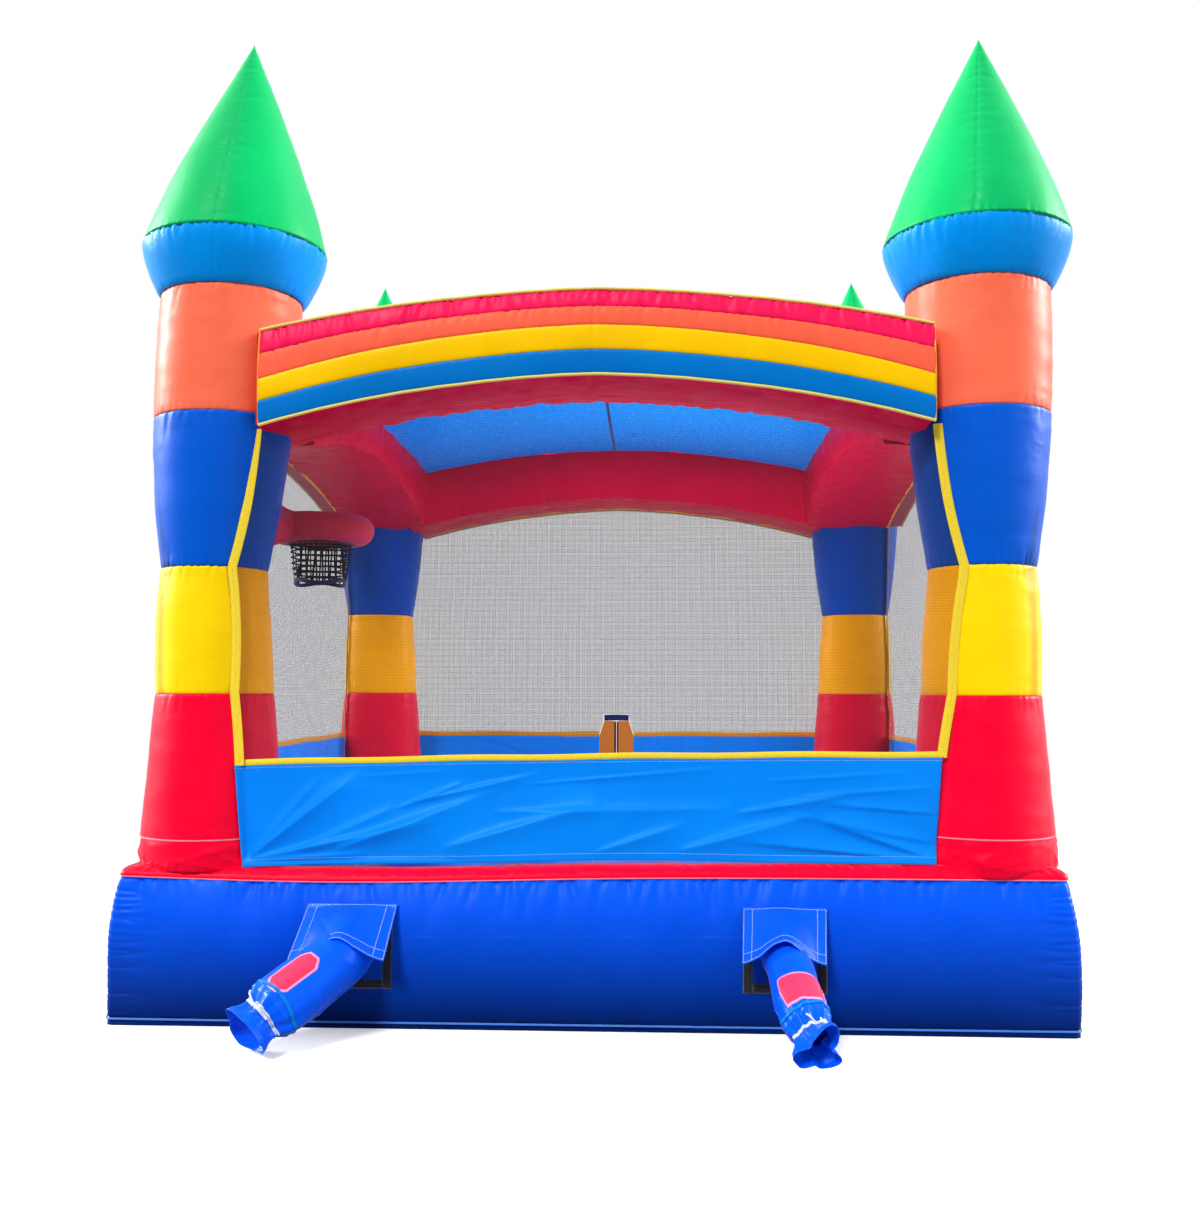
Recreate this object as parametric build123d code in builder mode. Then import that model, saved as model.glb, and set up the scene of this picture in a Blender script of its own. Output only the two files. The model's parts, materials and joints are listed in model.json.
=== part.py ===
"""Inflatable bounce house: an air-filled base, four corner columns with pointed spires, four arch beams,
a roof sheet, nets, wall panels, a zipped entrance, a ball hoop and two blower sleeves.

Millimetres, +Z up. The origin is the centre of the base's underside, on the ground. The blower side faces -Y
and the entrance faces +Y."""

from build123d import *
import math
import os

os.makedirs("parts", exist_ok=True)

# Fabric
SKIN = 3.0  # thickness of a chamber's fabric with its seams
SHEET = 4.0  # thickness of a hemmed panel, net or flap
GAP = 3.0  # space between a panel's edge and the column that it's laced to
SEAM_GAP = 0.5  # space between two chambers that are sewn together

# Base
BASE_LOW_HALF = 1940.0
BASE_HIGH_HALF = 1914.0
BASE_BULGE = 50.0
FLOOR_Z = 612.0
BASE_TOP = FLOOR_Z - SHEET
LEDGE_INNER = 1760.0
BAFFLE_PITCH = 500.0
BAFFLE_COUNT = 7
BAFFLE_HALF = 1840.0
BAFFLE_HOLE_R = 120.0
BAFFLE_HOLE_PITCH = 900.0

# Columns and spires: each ring is a height and the outer radius there
COLUMN_AT = 1655.0
BELLY = 8.0
RINGS = {
    "foot": (FLOOR_Z, 322.0),
    "ankle": (722.0, 317.0),
    "red_top": (1340.0, 255.0),
    "yellow_top": (1876.0, 236.0),
    "blue_top": (2525.0, 300.0),
    "orange_top": (3065.0, 308.0),
}
PANELS = {
    "red": ("foot", "ankle", "red_top"),
    "yellow": ("red_top", "yellow_top"),
    "blue": ("yellow_top", "blue_top"),
    "orange": ("blue_top", "orange_top"),
}
BAND_TOP = 3322.0
EAVES_Z = 3245.0
EAVES_R = 401.0
BAND_TOP_R = 392.0
APEX_Z = 4230.0
CONE_BELLY = 26.0  # how far the cone's outline is pulled out from a straight one
CONE_DROP = 8.0  # how far the cone's hollow lies below its outside, which leaves the skin's thickness
CORNERS = {
    "front_left": (-1, -1),
    "front_right": (1, -1),
    "back_left": (-1, 1),
    "back_right": (1, 1),
}

# Arch beams: heights of the underside and the top, at the ends and at the middle
ARCH_HALF = 1398.0
ARCH_FACE = 1930.0
END_ARCH = (2460.0, 2655.0, 2858.0, 3010.0)
SIDE_ARCH = (2470.0, 2660.0, 2860.0, 3010.0)
END_ARCH_INNER = 1410.0
SIDE_ARCH_INNER = 1300.0
STRIPES = {  # upper edge of each stripe, as a share of the face's height at its ends and its middle
    "blue": (0.26, 0.31),
    "gold": (0.51, 0.605),
    "coral": (0.775, 0.82),
    "pink": (1.0, 1.0),
}

# Roof, nets and walls
ROOF_EDGE_Z = 2845.0
ROOF_CROWN_Z = 2995.0
WALL_AT = 1850.0
WALL_TOP = 1040.0
FRONT_SHEET = (658.0, 1075.0)
HEM_GAP = 4.0

# Entrance in the back wall
DOOR_HALF = 450.0
STRIP_WIDTH = 120.0
STRIP_TOP_WIDTH = 87.0
STRIP_TOP = 1146.0
HEADER_TOP = 1188.0
CLOSURE_HALF_GAP = 2.0

# Ball hoop on the front left column
HOOP_AT = (-1310.0, -1200.0, 2113.0)
HOOP_R = 178.0
HOOP_TUBE_R = 77.0
HOOP_ROOT_R = 124.0
HOOP_NET_TOP = (2038.0, 146.0)
HOOP_NET_LOW = (1862.0, 118.0)

# Blower sleeves
PORT_X = {"left": -950.0, "right": 778.0}
PORT_WIDTH = 330.0
PORT_Z = (166.0, 478.0)
PORT_BAND = 38.0
FLAP_HINGE = (-1958.0, 500.0)
FLAP_WIDTH = 350.0
FLAP_LENGTH = 250.0
FLAP_TILT = 62.0
SLEEVE_ROOT = (-2087.0, 302.0)
SLEEVE_END = {"left": (-1255.0, -2350.0, 88.0), "right": (856.0, -2482.0, 82.0)}
SLEEVE_ROOT_R = 104.0
SLEEVE_SHAPE = (  # share of the sleeve's length and its radius there
    (0.30, 105.0),
    (0.60, 106.0),
    (0.76, 97.0),
    (0.86, 77.0),
)
SLEEVE_END_R = 84.0
TIE_R = 5.0

# Ground anchors
ANCHOR_Y = (-1300.0, 1300.0)
ANCHOR_REACH = 2110.0
TAB_WIDTH = 70.0
TAB_END = 2145.0
TAB_CLEARANCE = 5.0
TAB_Z = 1.0
EYELET_BORE_R = 8.0
EYELET_R = 14.0
EYELET_Z = (0.0, 6.0)

SIDES = {  # each side's sketch directions: along the wall, and outward
    "front": ((1, 0, 0), (0, -1, 0)),
    "right": ((0, 1, 0), (1, 0, 0)),
    "back": ((-1, 0, 0), (0, 1, 0)),
    "left": ((0, -1, 0), (-1, 0, 0)),
}


def save(piece, name):
    """Writes one sub-part under its own name."""
    piece.part.label = name
    export_step(piece.part, f"parts/{name}.step")


def side_plane(side, distance):
    """An upright plane that faces out of one side, at a distance from the centre."""
    along, outward = SIDES[side]
    origin = tuple(distance * v for v in outward)
    return Plane(origin=origin, x_dir=along, z_dir=outward)


def mid_of(low, high, belly):
    """The point halfway along a panel, pushed out by its belly."""
    return ((low[0] + high[0]) / 2 + belly, (low[1] + high[1]) / 2)


# ---------------------------------------------------------------- base


def bulged_block(inset):
    """The base's air space: a square block whose four sides swell, drawn in by inset all round."""
    low_half = BASE_LOW_HALF - inset
    high_half = BASE_HIGH_HALF - inset
    low = inset
    high = BASE_TOP - inset
    swell = ((low_half + high_half) / 2 + BASE_BULGE, (low + high) / 2)
    with BuildPart() as block:
        for plane, mode in ((Plane.XZ, Mode.ADD), (Plane.YZ, Mode.INTERSECT)):
            with BuildSketch(plane):
                with BuildLine():
                    Line((-high_half, high), (high_half, high))
                    ThreePointArc((high_half, high), swell, (low_half, low))
                    Line((low_half, low), (-low_half, low))
                    ThreePointArc((-low_half, low), (-swell[0], swell[1]), (-high_half, high))
                make_face()
            extrude(amount=BASE_LOW_HALF + 2 * BASE_BULGE, both=True, mode=mode)
    return block.part


with BuildPart() as base_chamber:
    add(bulged_block(0))
    add(bulged_block(SKIN), mode=Mode.SUBTRACT)
save(base_chamber, "base_chamber")

with BuildPart() as base_ledge:
    with BuildSketch(Plane.XY.offset(BASE_TOP)):
        Rectangle(2 * BASE_HIGH_HALF, 2 * BASE_HIGH_HALF)
        Rectangle(2 * LEDGE_INNER, 2 * LEDGE_INNER, mode=Mode.SUBTRACT)
    extrude(amount=SHEET)
save(base_ledge, "base_ledge")

with BuildPart() as jump_floor:
    with BuildSketch(Plane.XY.offset(BASE_TOP)):
        Rectangle(2 * LEDGE_INNER - 1, 2 * LEDGE_INNER - 1)
    extrude(amount=SHEET)
save(jump_floor, "jump_floor")

baffle_height = BASE_TOP - 2 * SKIN - 2
with BuildPart() as floor_baffles:
    for step in range(BAFFLE_COUNT):
        baffle_x = (step - (BAFFLE_COUNT - 1) / 2) * BAFFLE_PITCH
        with BuildSketch(Plane.YZ.offset(baffle_x - SKIN / 2)):
            with Locations((0, BASE_TOP / 2)):
                Rectangle(2 * BAFFLE_HALF, baffle_height)
                with GridLocations(BAFFLE_HOLE_PITCH, 1, 4, 1):
                    Circle(BAFFLE_HOLE_R, mode=Mode.SUBTRACT)
        extrude(amount=SKIN)
save(floor_baffles, "floor_baffles")

# ---------------------------------------------------------------- columns


def column_plane(corner):
    """An upright plane through a column's axis."""
    x, y = CORNERS[corner]
    return Plane(origin=(x * COLUMN_AT, y * COLUMN_AT, 0), x_dir=(1, 0, 0), z_dir=(0, -1, 0))


def column_axis(corner):
    """A column's own axis."""
    x, y = CORNERS[corner]
    return Axis((x * COLUMN_AT, y * COLUMN_AT, 0), (0, 0, 1))


def wall_points(rings, grow):
    """Radius and height at each ring, with the skin's surface moved out by grow."""
    return [(RINGS[ring][1] + grow, RINGS[ring][0]) for ring in rings]


def column_core(corner, grow):
    """One column filled from foot to top, grown outward, for cutting its neighbours back."""
    points = wall_points(RINGS, grow)
    with BuildPart() as core:
        with BuildSketch(column_plane(corner)):
            with BuildLine():
                Line((0, points[0][1]), points[0])
                for low, high in zip(points, points[1:]):
                    ThreePointArc(low, mid_of(low, high, BELLY), high)
                Line(points[-1], (0, points[-1][1]))
                Line((0, points[-1][1]), (0, points[0][1]))
            make_face()
        revolve(axis=column_axis(corner))
    return core.part


for corner in CORNERS:
    for colour, rings in PANELS.items():
        outer = wall_points(rings, 0)
        inner = wall_points(rings, -SKIN)
        with BuildPart() as panel:
            with BuildSketch(column_plane(corner)):
                with BuildLine():
                    Line(inner[0], outer[0])
                    for low, high in zip(outer, outer[1:]):
                        ThreePointArc(low, mid_of(low, high, BELLY), high)
                    Line(outer[-1], inner[-1])
                    for low, high in zip(inner, inner[1:]):
                        ThreePointArc(low, mid_of(low, high, BELLY), high)
                make_face()
            revolve(axis=column_axis(corner))
        save(panel, f"{corner}_column_{colour}")

# The roomy band under each cone, and the cone
neck_z, neck_r = RINGS["orange_top"]
band_mid = (368.0, 3158.0)
with BuildPart() as spire_bands:
    for corner in CORNERS:
        with BuildSketch(column_plane(corner)):
            with BuildLine():
                Line((neck_r - SKIN, neck_z), (neck_r, neck_z))
                ThreePointArc((neck_r, neck_z), band_mid, (EAVES_R, EAVES_Z))
                Line((EAVES_R, EAVES_Z), (BAND_TOP_R, BAND_TOP))
                Line((BAND_TOP_R, BAND_TOP), (BAND_TOP_R - SKIN, BAND_TOP))
                Line((BAND_TOP_R - SKIN, BAND_TOP), (EAVES_R - SKIN, EAVES_Z))
                ThreePointArc(
                    (EAVES_R - SKIN, EAVES_Z),
                    (band_mid[0] - SKIN, band_mid[1]),
                    (neck_r - SKIN, neck_z),
                )
            make_face()
        revolve(axis=column_axis(corner))
save(spire_bands, "spire_bands")

cone_pull = (BAND_TOP_R / 2 + CONE_BELLY, (BAND_TOP + APEX_Z) / 2)
cone_drops = ((0, Mode.ADD), (CONE_DROP, Mode.SUBTRACT))  # the outer cone, and its hollow lower down
for corner in CORNERS:
    with BuildPart() as spire_cone:
        for drop, mode in cone_drops:
            with BuildSketch(column_plane(corner)):
                with BuildLine():
                    Line((0, BAND_TOP - drop), (BAND_TOP_R, BAND_TOP - drop))
                    Bezier(
                        (BAND_TOP_R, BAND_TOP - drop),
                        (cone_pull[0], cone_pull[1] - drop),
                        (0, APEX_Z - drop),
                    )
                    Line((0, APEX_Z - drop), (0, BAND_TOP - drop))
                make_face()
            revolve(axis=column_axis(corner), mode=mode)
    save(spire_cone, f"{corner}_spire_cone")

# ---------------------------------------------------------------- arch beams and their stripes


def arch_sizes(side):
    """Heights of a side's arch, and how far in its beam reaches."""
    if side in ("front", "back"):
        return END_ARCH, END_ARCH_INNER
    return SIDE_ARCH, SIDE_ARCH_INNER


def arch_outline(low_end, low_mid, high_end, high_mid, half):
    """A curved band between two arcs, closed by upright ends."""
    with BuildSketch() as outline:
        with BuildLine():
            ThreePointArc((-half, low_end), (0, low_mid), (half, low_end))
            Line((half, low_end), (half, high_end))
            ThreePointArc((half, high_end), (0, high_mid), (-half, high_end))
            Line((-half, high_end), (-half, low_end))
        make_face()
    return outline.sketch


columns_near_arches = [column_core(corner, SEAM_GAP) for corner in CORNERS]

for side in SIDES:
    (low_end, low_mid, high_end, high_mid), inner_face = arch_sizes(side)
    with BuildPart() as arch_beam:
        with BuildSketch(side_plane(side, inner_face)):
            add(arch_outline(low_end, low_mid, high_end, high_mid, ARCH_HALF))
        extrude(amount=ARCH_FACE - inner_face)
        lows = (low_end + SKIN, low_mid + SKIN)
        highs = (high_end - SKIN, high_mid - SKIN)
        with BuildSketch(side_plane(side, inner_face + SKIN)):
            add(arch_outline(*lows, *highs, ARCH_HALF - SKIN))
        extrude(amount=ARCH_FACE - inner_face - 2 * SKIN, mode=Mode.SUBTRACT)
        for core in columns_near_arches:
            add(core, mode=Mode.SUBTRACT)
    save(arch_beam, f"{side}_arch_beam")

below = (0.0, 0.0)
for colour, above in STRIPES.items():
    with BuildPart() as arch_stripes:
        for side in SIDES:
            (low_end, low_mid, high_end, high_mid), inner_face = arch_sizes(side)
            end_rise = high_end - low_end
            mid_rise = high_mid - low_mid
            lows = (low_end + below[0] * end_rise, low_mid + below[1] * mid_rise)
            highs = (low_end + above[0] * end_rise, low_mid + above[1] * mid_rise)
            with BuildSketch(side_plane(side, ARCH_FACE)):
                add(arch_outline(*lows, *highs, ARCH_HALF))
            extrude(amount=SHEET)
    save(arch_stripes, f"arch_stripes_{colour}")
    below = above

with BuildPart() as roof_sheet:
    roof_half = SIDE_ARCH_INNER - SEAM_GAP
    roof_top = (ROOF_EDGE_Z + SHEET, ROOF_CROWN_Z + SHEET)
    with BuildSketch(side_plane("front", -END_ARCH_INNER + 1)):
        add(arch_outline(ROOF_EDGE_Z, ROOF_CROWN_Z, *roof_top, roof_half))
    extrude(amount=2 * END_ARCH_INNER - 2)
save(roof_sheet, "roof_sheet")

# ---------------------------------------------------------------- nets and walls

columns_near_panels = [column_core(corner, GAP) for corner in CORNERS]


def entrance_notch(grow):
    """Outline of the entrance's tapered top and header, grown outward."""
    with BuildSketch() as notch:
        with BuildLine():
            Polyline(
                (-STRIP_WIDTH - grow, WALL_TOP - 1),
                (-STRIP_TOP_WIDTH - grow, STRIP_TOP),
                (-STRIP_TOP_WIDTH - grow, HEADER_TOP + grow),
                (STRIP_TOP_WIDTH + grow, HEADER_TOP + grow),
                (STRIP_TOP_WIDTH + grow, STRIP_TOP),
                (STRIP_WIDTH + grow, WALL_TOP - 1),
                close=True,
            )
        make_face()
    return notch.sketch


for side in SIDES:
    (low_end, low_mid, high_end, high_mid), inner_face = arch_sizes(side)
    net_bottom = FRONT_SHEET[1] + HEM_GAP if side == "front" else WALL_TOP + HEM_GAP
    with BuildPart() as net:
        with BuildSketch(side_plane(side, WALL_AT - SHEET)):
            with BuildLine():
                Line((-COLUMN_AT, net_bottom), (COLUMN_AT, net_bottom))
                Line((COLUMN_AT, net_bottom), (COLUMN_AT, low_end - 1))
                Line((COLUMN_AT, low_end - 1), (ARCH_HALF, low_end - 1))
                ThreePointArc((ARCH_HALF, low_end - 1), (0, low_mid - 1), (-ARCH_HALF, low_end - 1))
                Line((-ARCH_HALF, low_end - 1), (-COLUMN_AT, low_end - 1))
                Line((-COLUMN_AT, low_end - 1), (-COLUMN_AT, net_bottom))
            make_face()
        extrude(amount=SHEET)
        for core in columns_near_panels:
            add(core, mode=Mode.SUBTRACT)
        if side == "back":
            with BuildSketch(side_plane(side, WALL_AT - 2 * SHEET)):
                add(entrance_notch(GAP))
            extrude(amount=3 * SHEET, mode=Mode.SUBTRACT)
    save(net, f"{side}_net")


def wall_panel(side, low, high, spans):
    """A wall of fabric between two columns, as one or more spans along its side."""
    with BuildPart() as wall:
        with BuildSketch(side_plane(side, WALL_AT - SHEET)):
            for start, end in spans:
                with Locations(((start + end) / 2, (low + high) / 2)):
                    Rectangle(end - start, high - low)
        extrude(amount=SHEET)
        for core in columns_near_panels:
            add(core, mode=Mode.SUBTRACT)
    return wall


whole_side = [(-COLUMN_AT, COLUMN_AT)]
for side in ("left", "right"):
    save(wall_panel(side, FLOOR_Z + HEM_GAP, WALL_TOP, whole_side), f"{side}_wall")
save(wall_panel("front", *FRONT_SHEET, whole_side), "front_sheet")
beside_door = [(-COLUMN_AT, -DOOR_HALF), (DOOR_HALF, COLUMN_AT)]
save(wall_panel("back", FLOOR_Z + HEM_GAP, WALL_TOP, beside_door), "back_wall")

# ---------------------------------------------------------------- entrance

door_plane = Plane(origin=(0, WALL_AT, 0), x_dir=(1, 0, 0), z_dir=(0, -1, 0))
leaf_low = FLOOR_Z + 2 * HEM_GAP
for hand, sign in (("left", -1), ("right", 1)):
    leaf_inner = STRIP_WIDTH + SEAM_GAP
    leaf_outer = DOOR_HALF - 1
    with BuildPart() as leaf:
        with BuildSketch(door_plane):
            with Locations((sign * (leaf_inner + leaf_outer) / 2, (leaf_low + WALL_TOP) / 2)):
                Rectangle(leaf_outer - leaf_inner, WALL_TOP - leaf_low)
        extrude(amount=SHEET)
    save(leaf, f"entrance_leaf_{hand}")

    with BuildPart() as closure:
        with BuildSketch(door_plane):
            with BuildLine():
                Polyline(
                    (sign * CLOSURE_HALF_GAP, leaf_low),
                    (sign * STRIP_WIDTH, leaf_low),
                    (sign * STRIP_WIDTH, WALL_TOP),
                    (sign * STRIP_TOP_WIDTH, STRIP_TOP - 1),
                    (sign * CLOSURE_HALF_GAP, STRIP_TOP - 1),
                    close=True,
                )
            make_face()
        extrude(amount=SHEET)
    save(closure, f"entrance_closure_{hand}")

with BuildPart() as entrance_header:
    with BuildSketch(door_plane):
        with Locations((0, (STRIP_TOP + HEADER_TOP) / 2)):
            Rectangle(2 * STRIP_TOP_WIDTH, HEADER_TOP - STRIP_TOP)
    extrude(amount=SHEET)
save(entrance_header, "entrance_header")

slider_x = -9.0
slider_z = leaf_low + 60
with BuildPart() as zip_slider:
    with BuildSketch(Plane(origin=(slider_x, WALL_AT + 0.5, slider_z), x_dir=(1, 0, 0), z_dir=(0, 1, 0))):
        RectangleRounded(11, 18, 3)
    extrude(amount=6)
    pull_plane = Plane(origin=(slider_x, WALL_AT + 6.5, slider_z), x_dir=(1, 0, 0), z_dir=(0, 1, 0))
    with BuildSketch(pull_plane):
        with Locations((0, 14)):
            RectangleRounded(9, 42, 4)
            with Locations((0, 12)):
                Circle(2.5, mode=Mode.SUBTRACT)
    extrude(amount=3)
save(zip_slider, "zip_slider")

# ---------------------------------------------------------------- ball hoop

hoop_x, hoop_y, hoop_z = HOOP_AT
to_column = (-COLUMN_AT - hoop_x, -COLUMN_AT - hoop_y, 0)
root_length = math.hypot(to_column[0], to_column[1]) - HOOP_R
unit = tuple(v / (root_length + HOOP_R) for v in to_column)
root_start = (hoop_x + unit[0] * HOOP_R, hoop_y + unit[1] * HOOP_R, hoop_z)


def hoop_form(inset):
    """The hoop's ring with the flared root that joins it to its column."""
    with BuildPart() as form:
        with Locations(HOOP_AT):
            Torus(HOOP_R, HOOP_TUBE_R - inset)
        with Locations(Plane(origin=root_start, z_dir=unit)):
            Cone(
                HOOP_TUBE_R - 6 - inset,
                HOOP_ROOT_R - inset,
                root_length,
                align=(Align.CENTER, Align.CENTER, Align.MIN),
            )
    return form.part


with BuildPart() as hoop_ring:
    add(hoop_form(0))
    add(hoop_form(SKIN), mode=Mode.SUBTRACT)
    add(column_core("front_left", SEAM_GAP), mode=Mode.SUBTRACT)
save(hoop_ring, "hoop_ring")

net_top_z, net_top_r = HOOP_NET_TOP
net_low_z, net_low_r = HOOP_NET_LOW
with BuildPart() as hoop_net:
    with BuildSketch(Plane(origin=(hoop_x, hoop_y, 0), x_dir=(1, 0, 0), z_dir=(0, -1, 0))):
        with BuildLine():
            Polyline(
                (net_top_r, net_top_z),
                (net_low_r, net_low_z),
                (net_low_r - SKIN, net_low_z),
                (net_top_r - SKIN, net_top_z),
                close=True,
            )
        make_face()
    revolve(axis=Axis((hoop_x, hoop_y, 0), (0, 0, 1)))
save(hoop_net, "hoop_net")

# ---------------------------------------------------------------- blower sleeves

port_height = PORT_Z[1] - PORT_Z[0]
with BuildPart() as port_frames:
    for port_x in PORT_X.values():
        with BuildSketch(side_plane("front", BASE_HIGH_HALF - BASE_BULGE)):
            with Locations((port_x, sum(PORT_Z) / 2)):
                Rectangle(PORT_WIDTH, port_height)
                Rectangle(PORT_WIDTH - 2 * PORT_BAND, port_height - 2 * PORT_BAND, mode=Mode.SUBTRACT)
        extrude(amount=4 * BASE_BULGE)
    add(bulged_block(-SHEET), mode=Mode.INTERSECT)
    add(bulged_block(0), mode=Mode.SUBTRACT)
save(port_frames, "port_frames")

tilt = math.radians(FLAP_TILT)
flap_normal = (0, math.cos(tilt), -math.sin(tilt))
for hand, port_x in PORT_X.items():
    hinge_line = Plane(
        origin=(port_x, FLAP_HINGE[0], FLAP_HINGE[1]), x_dir=(-1, 0, 0), z_dir=flap_normal
    )
    with BuildPart() as flap:
        with BuildSketch(hinge_line):
            with Locations((0, -FLAP_LENGTH / 2)):
                Rectangle(FLAP_WIDTH, FLAP_LENGTH)
        extrude(amount=-SHEET)
    save(flap, f"port_flap_{hand}")


def sleeve_points(length, inset):
    """Distance along the sleeve and radius there, from its rounded root to its tied end."""
    return [(share * length, radius - inset) for share, radius in SLEEVE_SHAPE]


for hand, port_x in PORT_X.items():
    root = Vector(port_x, *SLEEVE_ROOT)
    run = Vector(*SLEEVE_END[hand]) - root
    length = run.length
    sideways = run.cross(Vector(0, 0, 1)).normalized()
    sleeve_plane = Plane(origin=root, x_dir=run.normalized(), z_dir=sideways)
    sleeve_axis = Axis(root, run)
    with BuildPart() as sleeve:
        for inset, mode in ((0, Mode.ADD), (SKIN, Mode.SUBTRACT)):
            start = SLEEVE_ROOT_R - inset
            slant = start * math.sqrt(0.5)
            points = sleeve_points(length, inset)
            end = (length - inset, SLEEVE_END_R - inset)
            with BuildSketch(sleeve_plane):
                with BuildLine():
                    ThreePointArc((-start, 0), (-slant, slant), (0, start))
                    Spline((0, start), *points, end)
                    Line(end, (end[0], 0))
                    Line((end[0], 0), (-start, 0))
                make_face()
            revolve(axis=sleeve_axis, mode=mode)
    save(sleeve, f"blower_sleeve_{hand}")

    neck_share, neck_radius = SLEEVE_SHAPE[-1]
    with BuildPart() as tie_cord:
        with Locations(Plane(origin=root + run * neck_share, z_dir=run.normalized())):
            Torus(neck_radius + TIE_R + 1.5, TIE_R)
    save(tie_cord, f"tie_cord_{hand}")

# ---------------------------------------------------------------- ground anchors

with BuildPart() as anchor_tabs:
    for sign in (-1, 1):
        for tab_y in ANCHOR_Y:
            tab_start = BASE_LOW_HALF + TAB_CLEARANCE
            with BuildSketch(Plane.XY.offset(TAB_Z)):
                with Locations((sign * (tab_start + TAB_END) / 2, tab_y)):
                    Rectangle(TAB_END - tab_start, TAB_WIDTH)
                with Locations((sign * ANCHOR_REACH, tab_y)):
                    Circle(EYELET_R + 0.2, mode=Mode.SUBTRACT)
            extrude(amount=SHEET)
save(anchor_tabs, "anchor_tabs")

with BuildPart() as anchor_eyelets:
    with BuildSketch(Plane.XY.offset(EYELET_Z[0])):
        with GridLocations(2 * ANCHOR_REACH, ANCHOR_Y[1] - ANCHOR_Y[0], 2, 2):
            Circle(EYELET_R)
            Circle(EYELET_BORE_R, mode=Mode.SUBTRACT)
    extrude(amount=EYELET_Z[1] - EYELET_Z[0])
save(anchor_eyelets, "anchor_eyelets")
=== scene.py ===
"""Looks of the inflatable bounce house: each chamber, panel, net and sleeve as a sewn fabric mesh round the
CAD frame. Metres, +Z up, the blower side faces -Y."""

import itertools
import json
import math

import bpy
import numpy as np
from mathutils import Matrix, Vector


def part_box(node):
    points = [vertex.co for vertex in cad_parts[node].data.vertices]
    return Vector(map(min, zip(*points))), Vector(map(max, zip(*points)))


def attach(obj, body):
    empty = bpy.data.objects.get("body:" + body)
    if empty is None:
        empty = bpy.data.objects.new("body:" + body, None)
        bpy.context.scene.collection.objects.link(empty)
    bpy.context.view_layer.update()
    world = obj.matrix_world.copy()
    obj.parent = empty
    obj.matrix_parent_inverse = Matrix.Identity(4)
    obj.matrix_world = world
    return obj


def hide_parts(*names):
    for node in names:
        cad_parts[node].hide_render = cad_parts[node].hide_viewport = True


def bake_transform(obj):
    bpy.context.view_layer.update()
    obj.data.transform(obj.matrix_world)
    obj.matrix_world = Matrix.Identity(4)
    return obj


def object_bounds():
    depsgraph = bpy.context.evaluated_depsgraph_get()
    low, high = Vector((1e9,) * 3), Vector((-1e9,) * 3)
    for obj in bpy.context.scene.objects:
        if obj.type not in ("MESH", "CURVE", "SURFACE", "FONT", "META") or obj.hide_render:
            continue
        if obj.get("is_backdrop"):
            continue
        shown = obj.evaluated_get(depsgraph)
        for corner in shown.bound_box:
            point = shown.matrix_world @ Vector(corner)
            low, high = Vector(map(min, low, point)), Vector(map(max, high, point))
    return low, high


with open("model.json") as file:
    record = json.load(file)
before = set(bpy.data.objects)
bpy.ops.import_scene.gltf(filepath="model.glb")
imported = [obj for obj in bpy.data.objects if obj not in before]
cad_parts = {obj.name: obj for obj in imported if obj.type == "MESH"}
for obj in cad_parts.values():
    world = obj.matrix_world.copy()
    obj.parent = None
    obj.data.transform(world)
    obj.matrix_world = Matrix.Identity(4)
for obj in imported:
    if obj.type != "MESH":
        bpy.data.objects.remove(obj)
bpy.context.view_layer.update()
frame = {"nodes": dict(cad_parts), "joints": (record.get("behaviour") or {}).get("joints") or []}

TAU = 2 * math.pi

# ------------------------------------------------------------------ camera, light and floor


def placed(name, data):
    """A new object in the scene."""
    made = bpy.data.objects.new(name, data)
    bpy.context.scene.collection.objects.link(made)
    return made


yaw, pitch, roll = (math.radians(v) for v in (2.450, 3.722, 0.139))
forward = Vector((-math.sin(yaw) * math.cos(pitch), math.cos(yaw) * math.cos(pitch), math.sin(pitch)))
level_right = Vector((math.cos(yaw), math.sin(yaw), 0))
level_up = level_right.cross(forward)
right = math.cos(roll) * level_right + math.sin(roll) * level_up
up = math.cos(roll) * level_up - math.sin(roll) * level_right
camera = placed("camera", bpy.data.cameras.new("camera"))
camera.data.lens = 36.46
camera.data.clip_end = 100
turn = Matrix((right, up, -forward)).transposed().to_4x4()
camera.matrix_world = Matrix.Translation((0.258, -6.964, 1.353)) @ turn
bpy.context.scene.camera = camera
bpy.context.scene.view_settings.view_transform = "Standard"


def node(tree, kind, **values):
    """Adds a shader node and sets its properties and input sockets by name; a socket as a value is linked."""
    made = tree.nodes.new(kind)
    for key, value in values.items():
        if isinstance(value, bpy.types.NodeSocket):
            tree.links.new(value, made.inputs[key])
        elif key in made.inputs:
            made.inputs[key].default_value = value
        else:
            setattr(made, key, value)
    return made


def fill(tree, made, values):
    """Sets or links a node's input sockets in their order."""
    for socket, value in zip(made.inputs, values):
        if isinstance(value, bpy.types.NodeSocket):
            tree.links.new(value, socket)
        else:
            socket.default_value = value
    return made.outputs[0]


def sums(tree, operation, *values):
    """A Math node on sockets or numbers."""
    return fill(tree, node(tree, "ShaderNodeMath", operation=operation), values)


def by_ray(tree, other, seen):
    """A shader that camera rays see as one thing and all other rays as another."""
    camera_ray = node(tree, "ShaderNodeLightPath").outputs["Is Camera Ray"]
    return fill(tree, node(tree, "ShaderNodeMixShader"), (camera_ray, other, seen))


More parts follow.
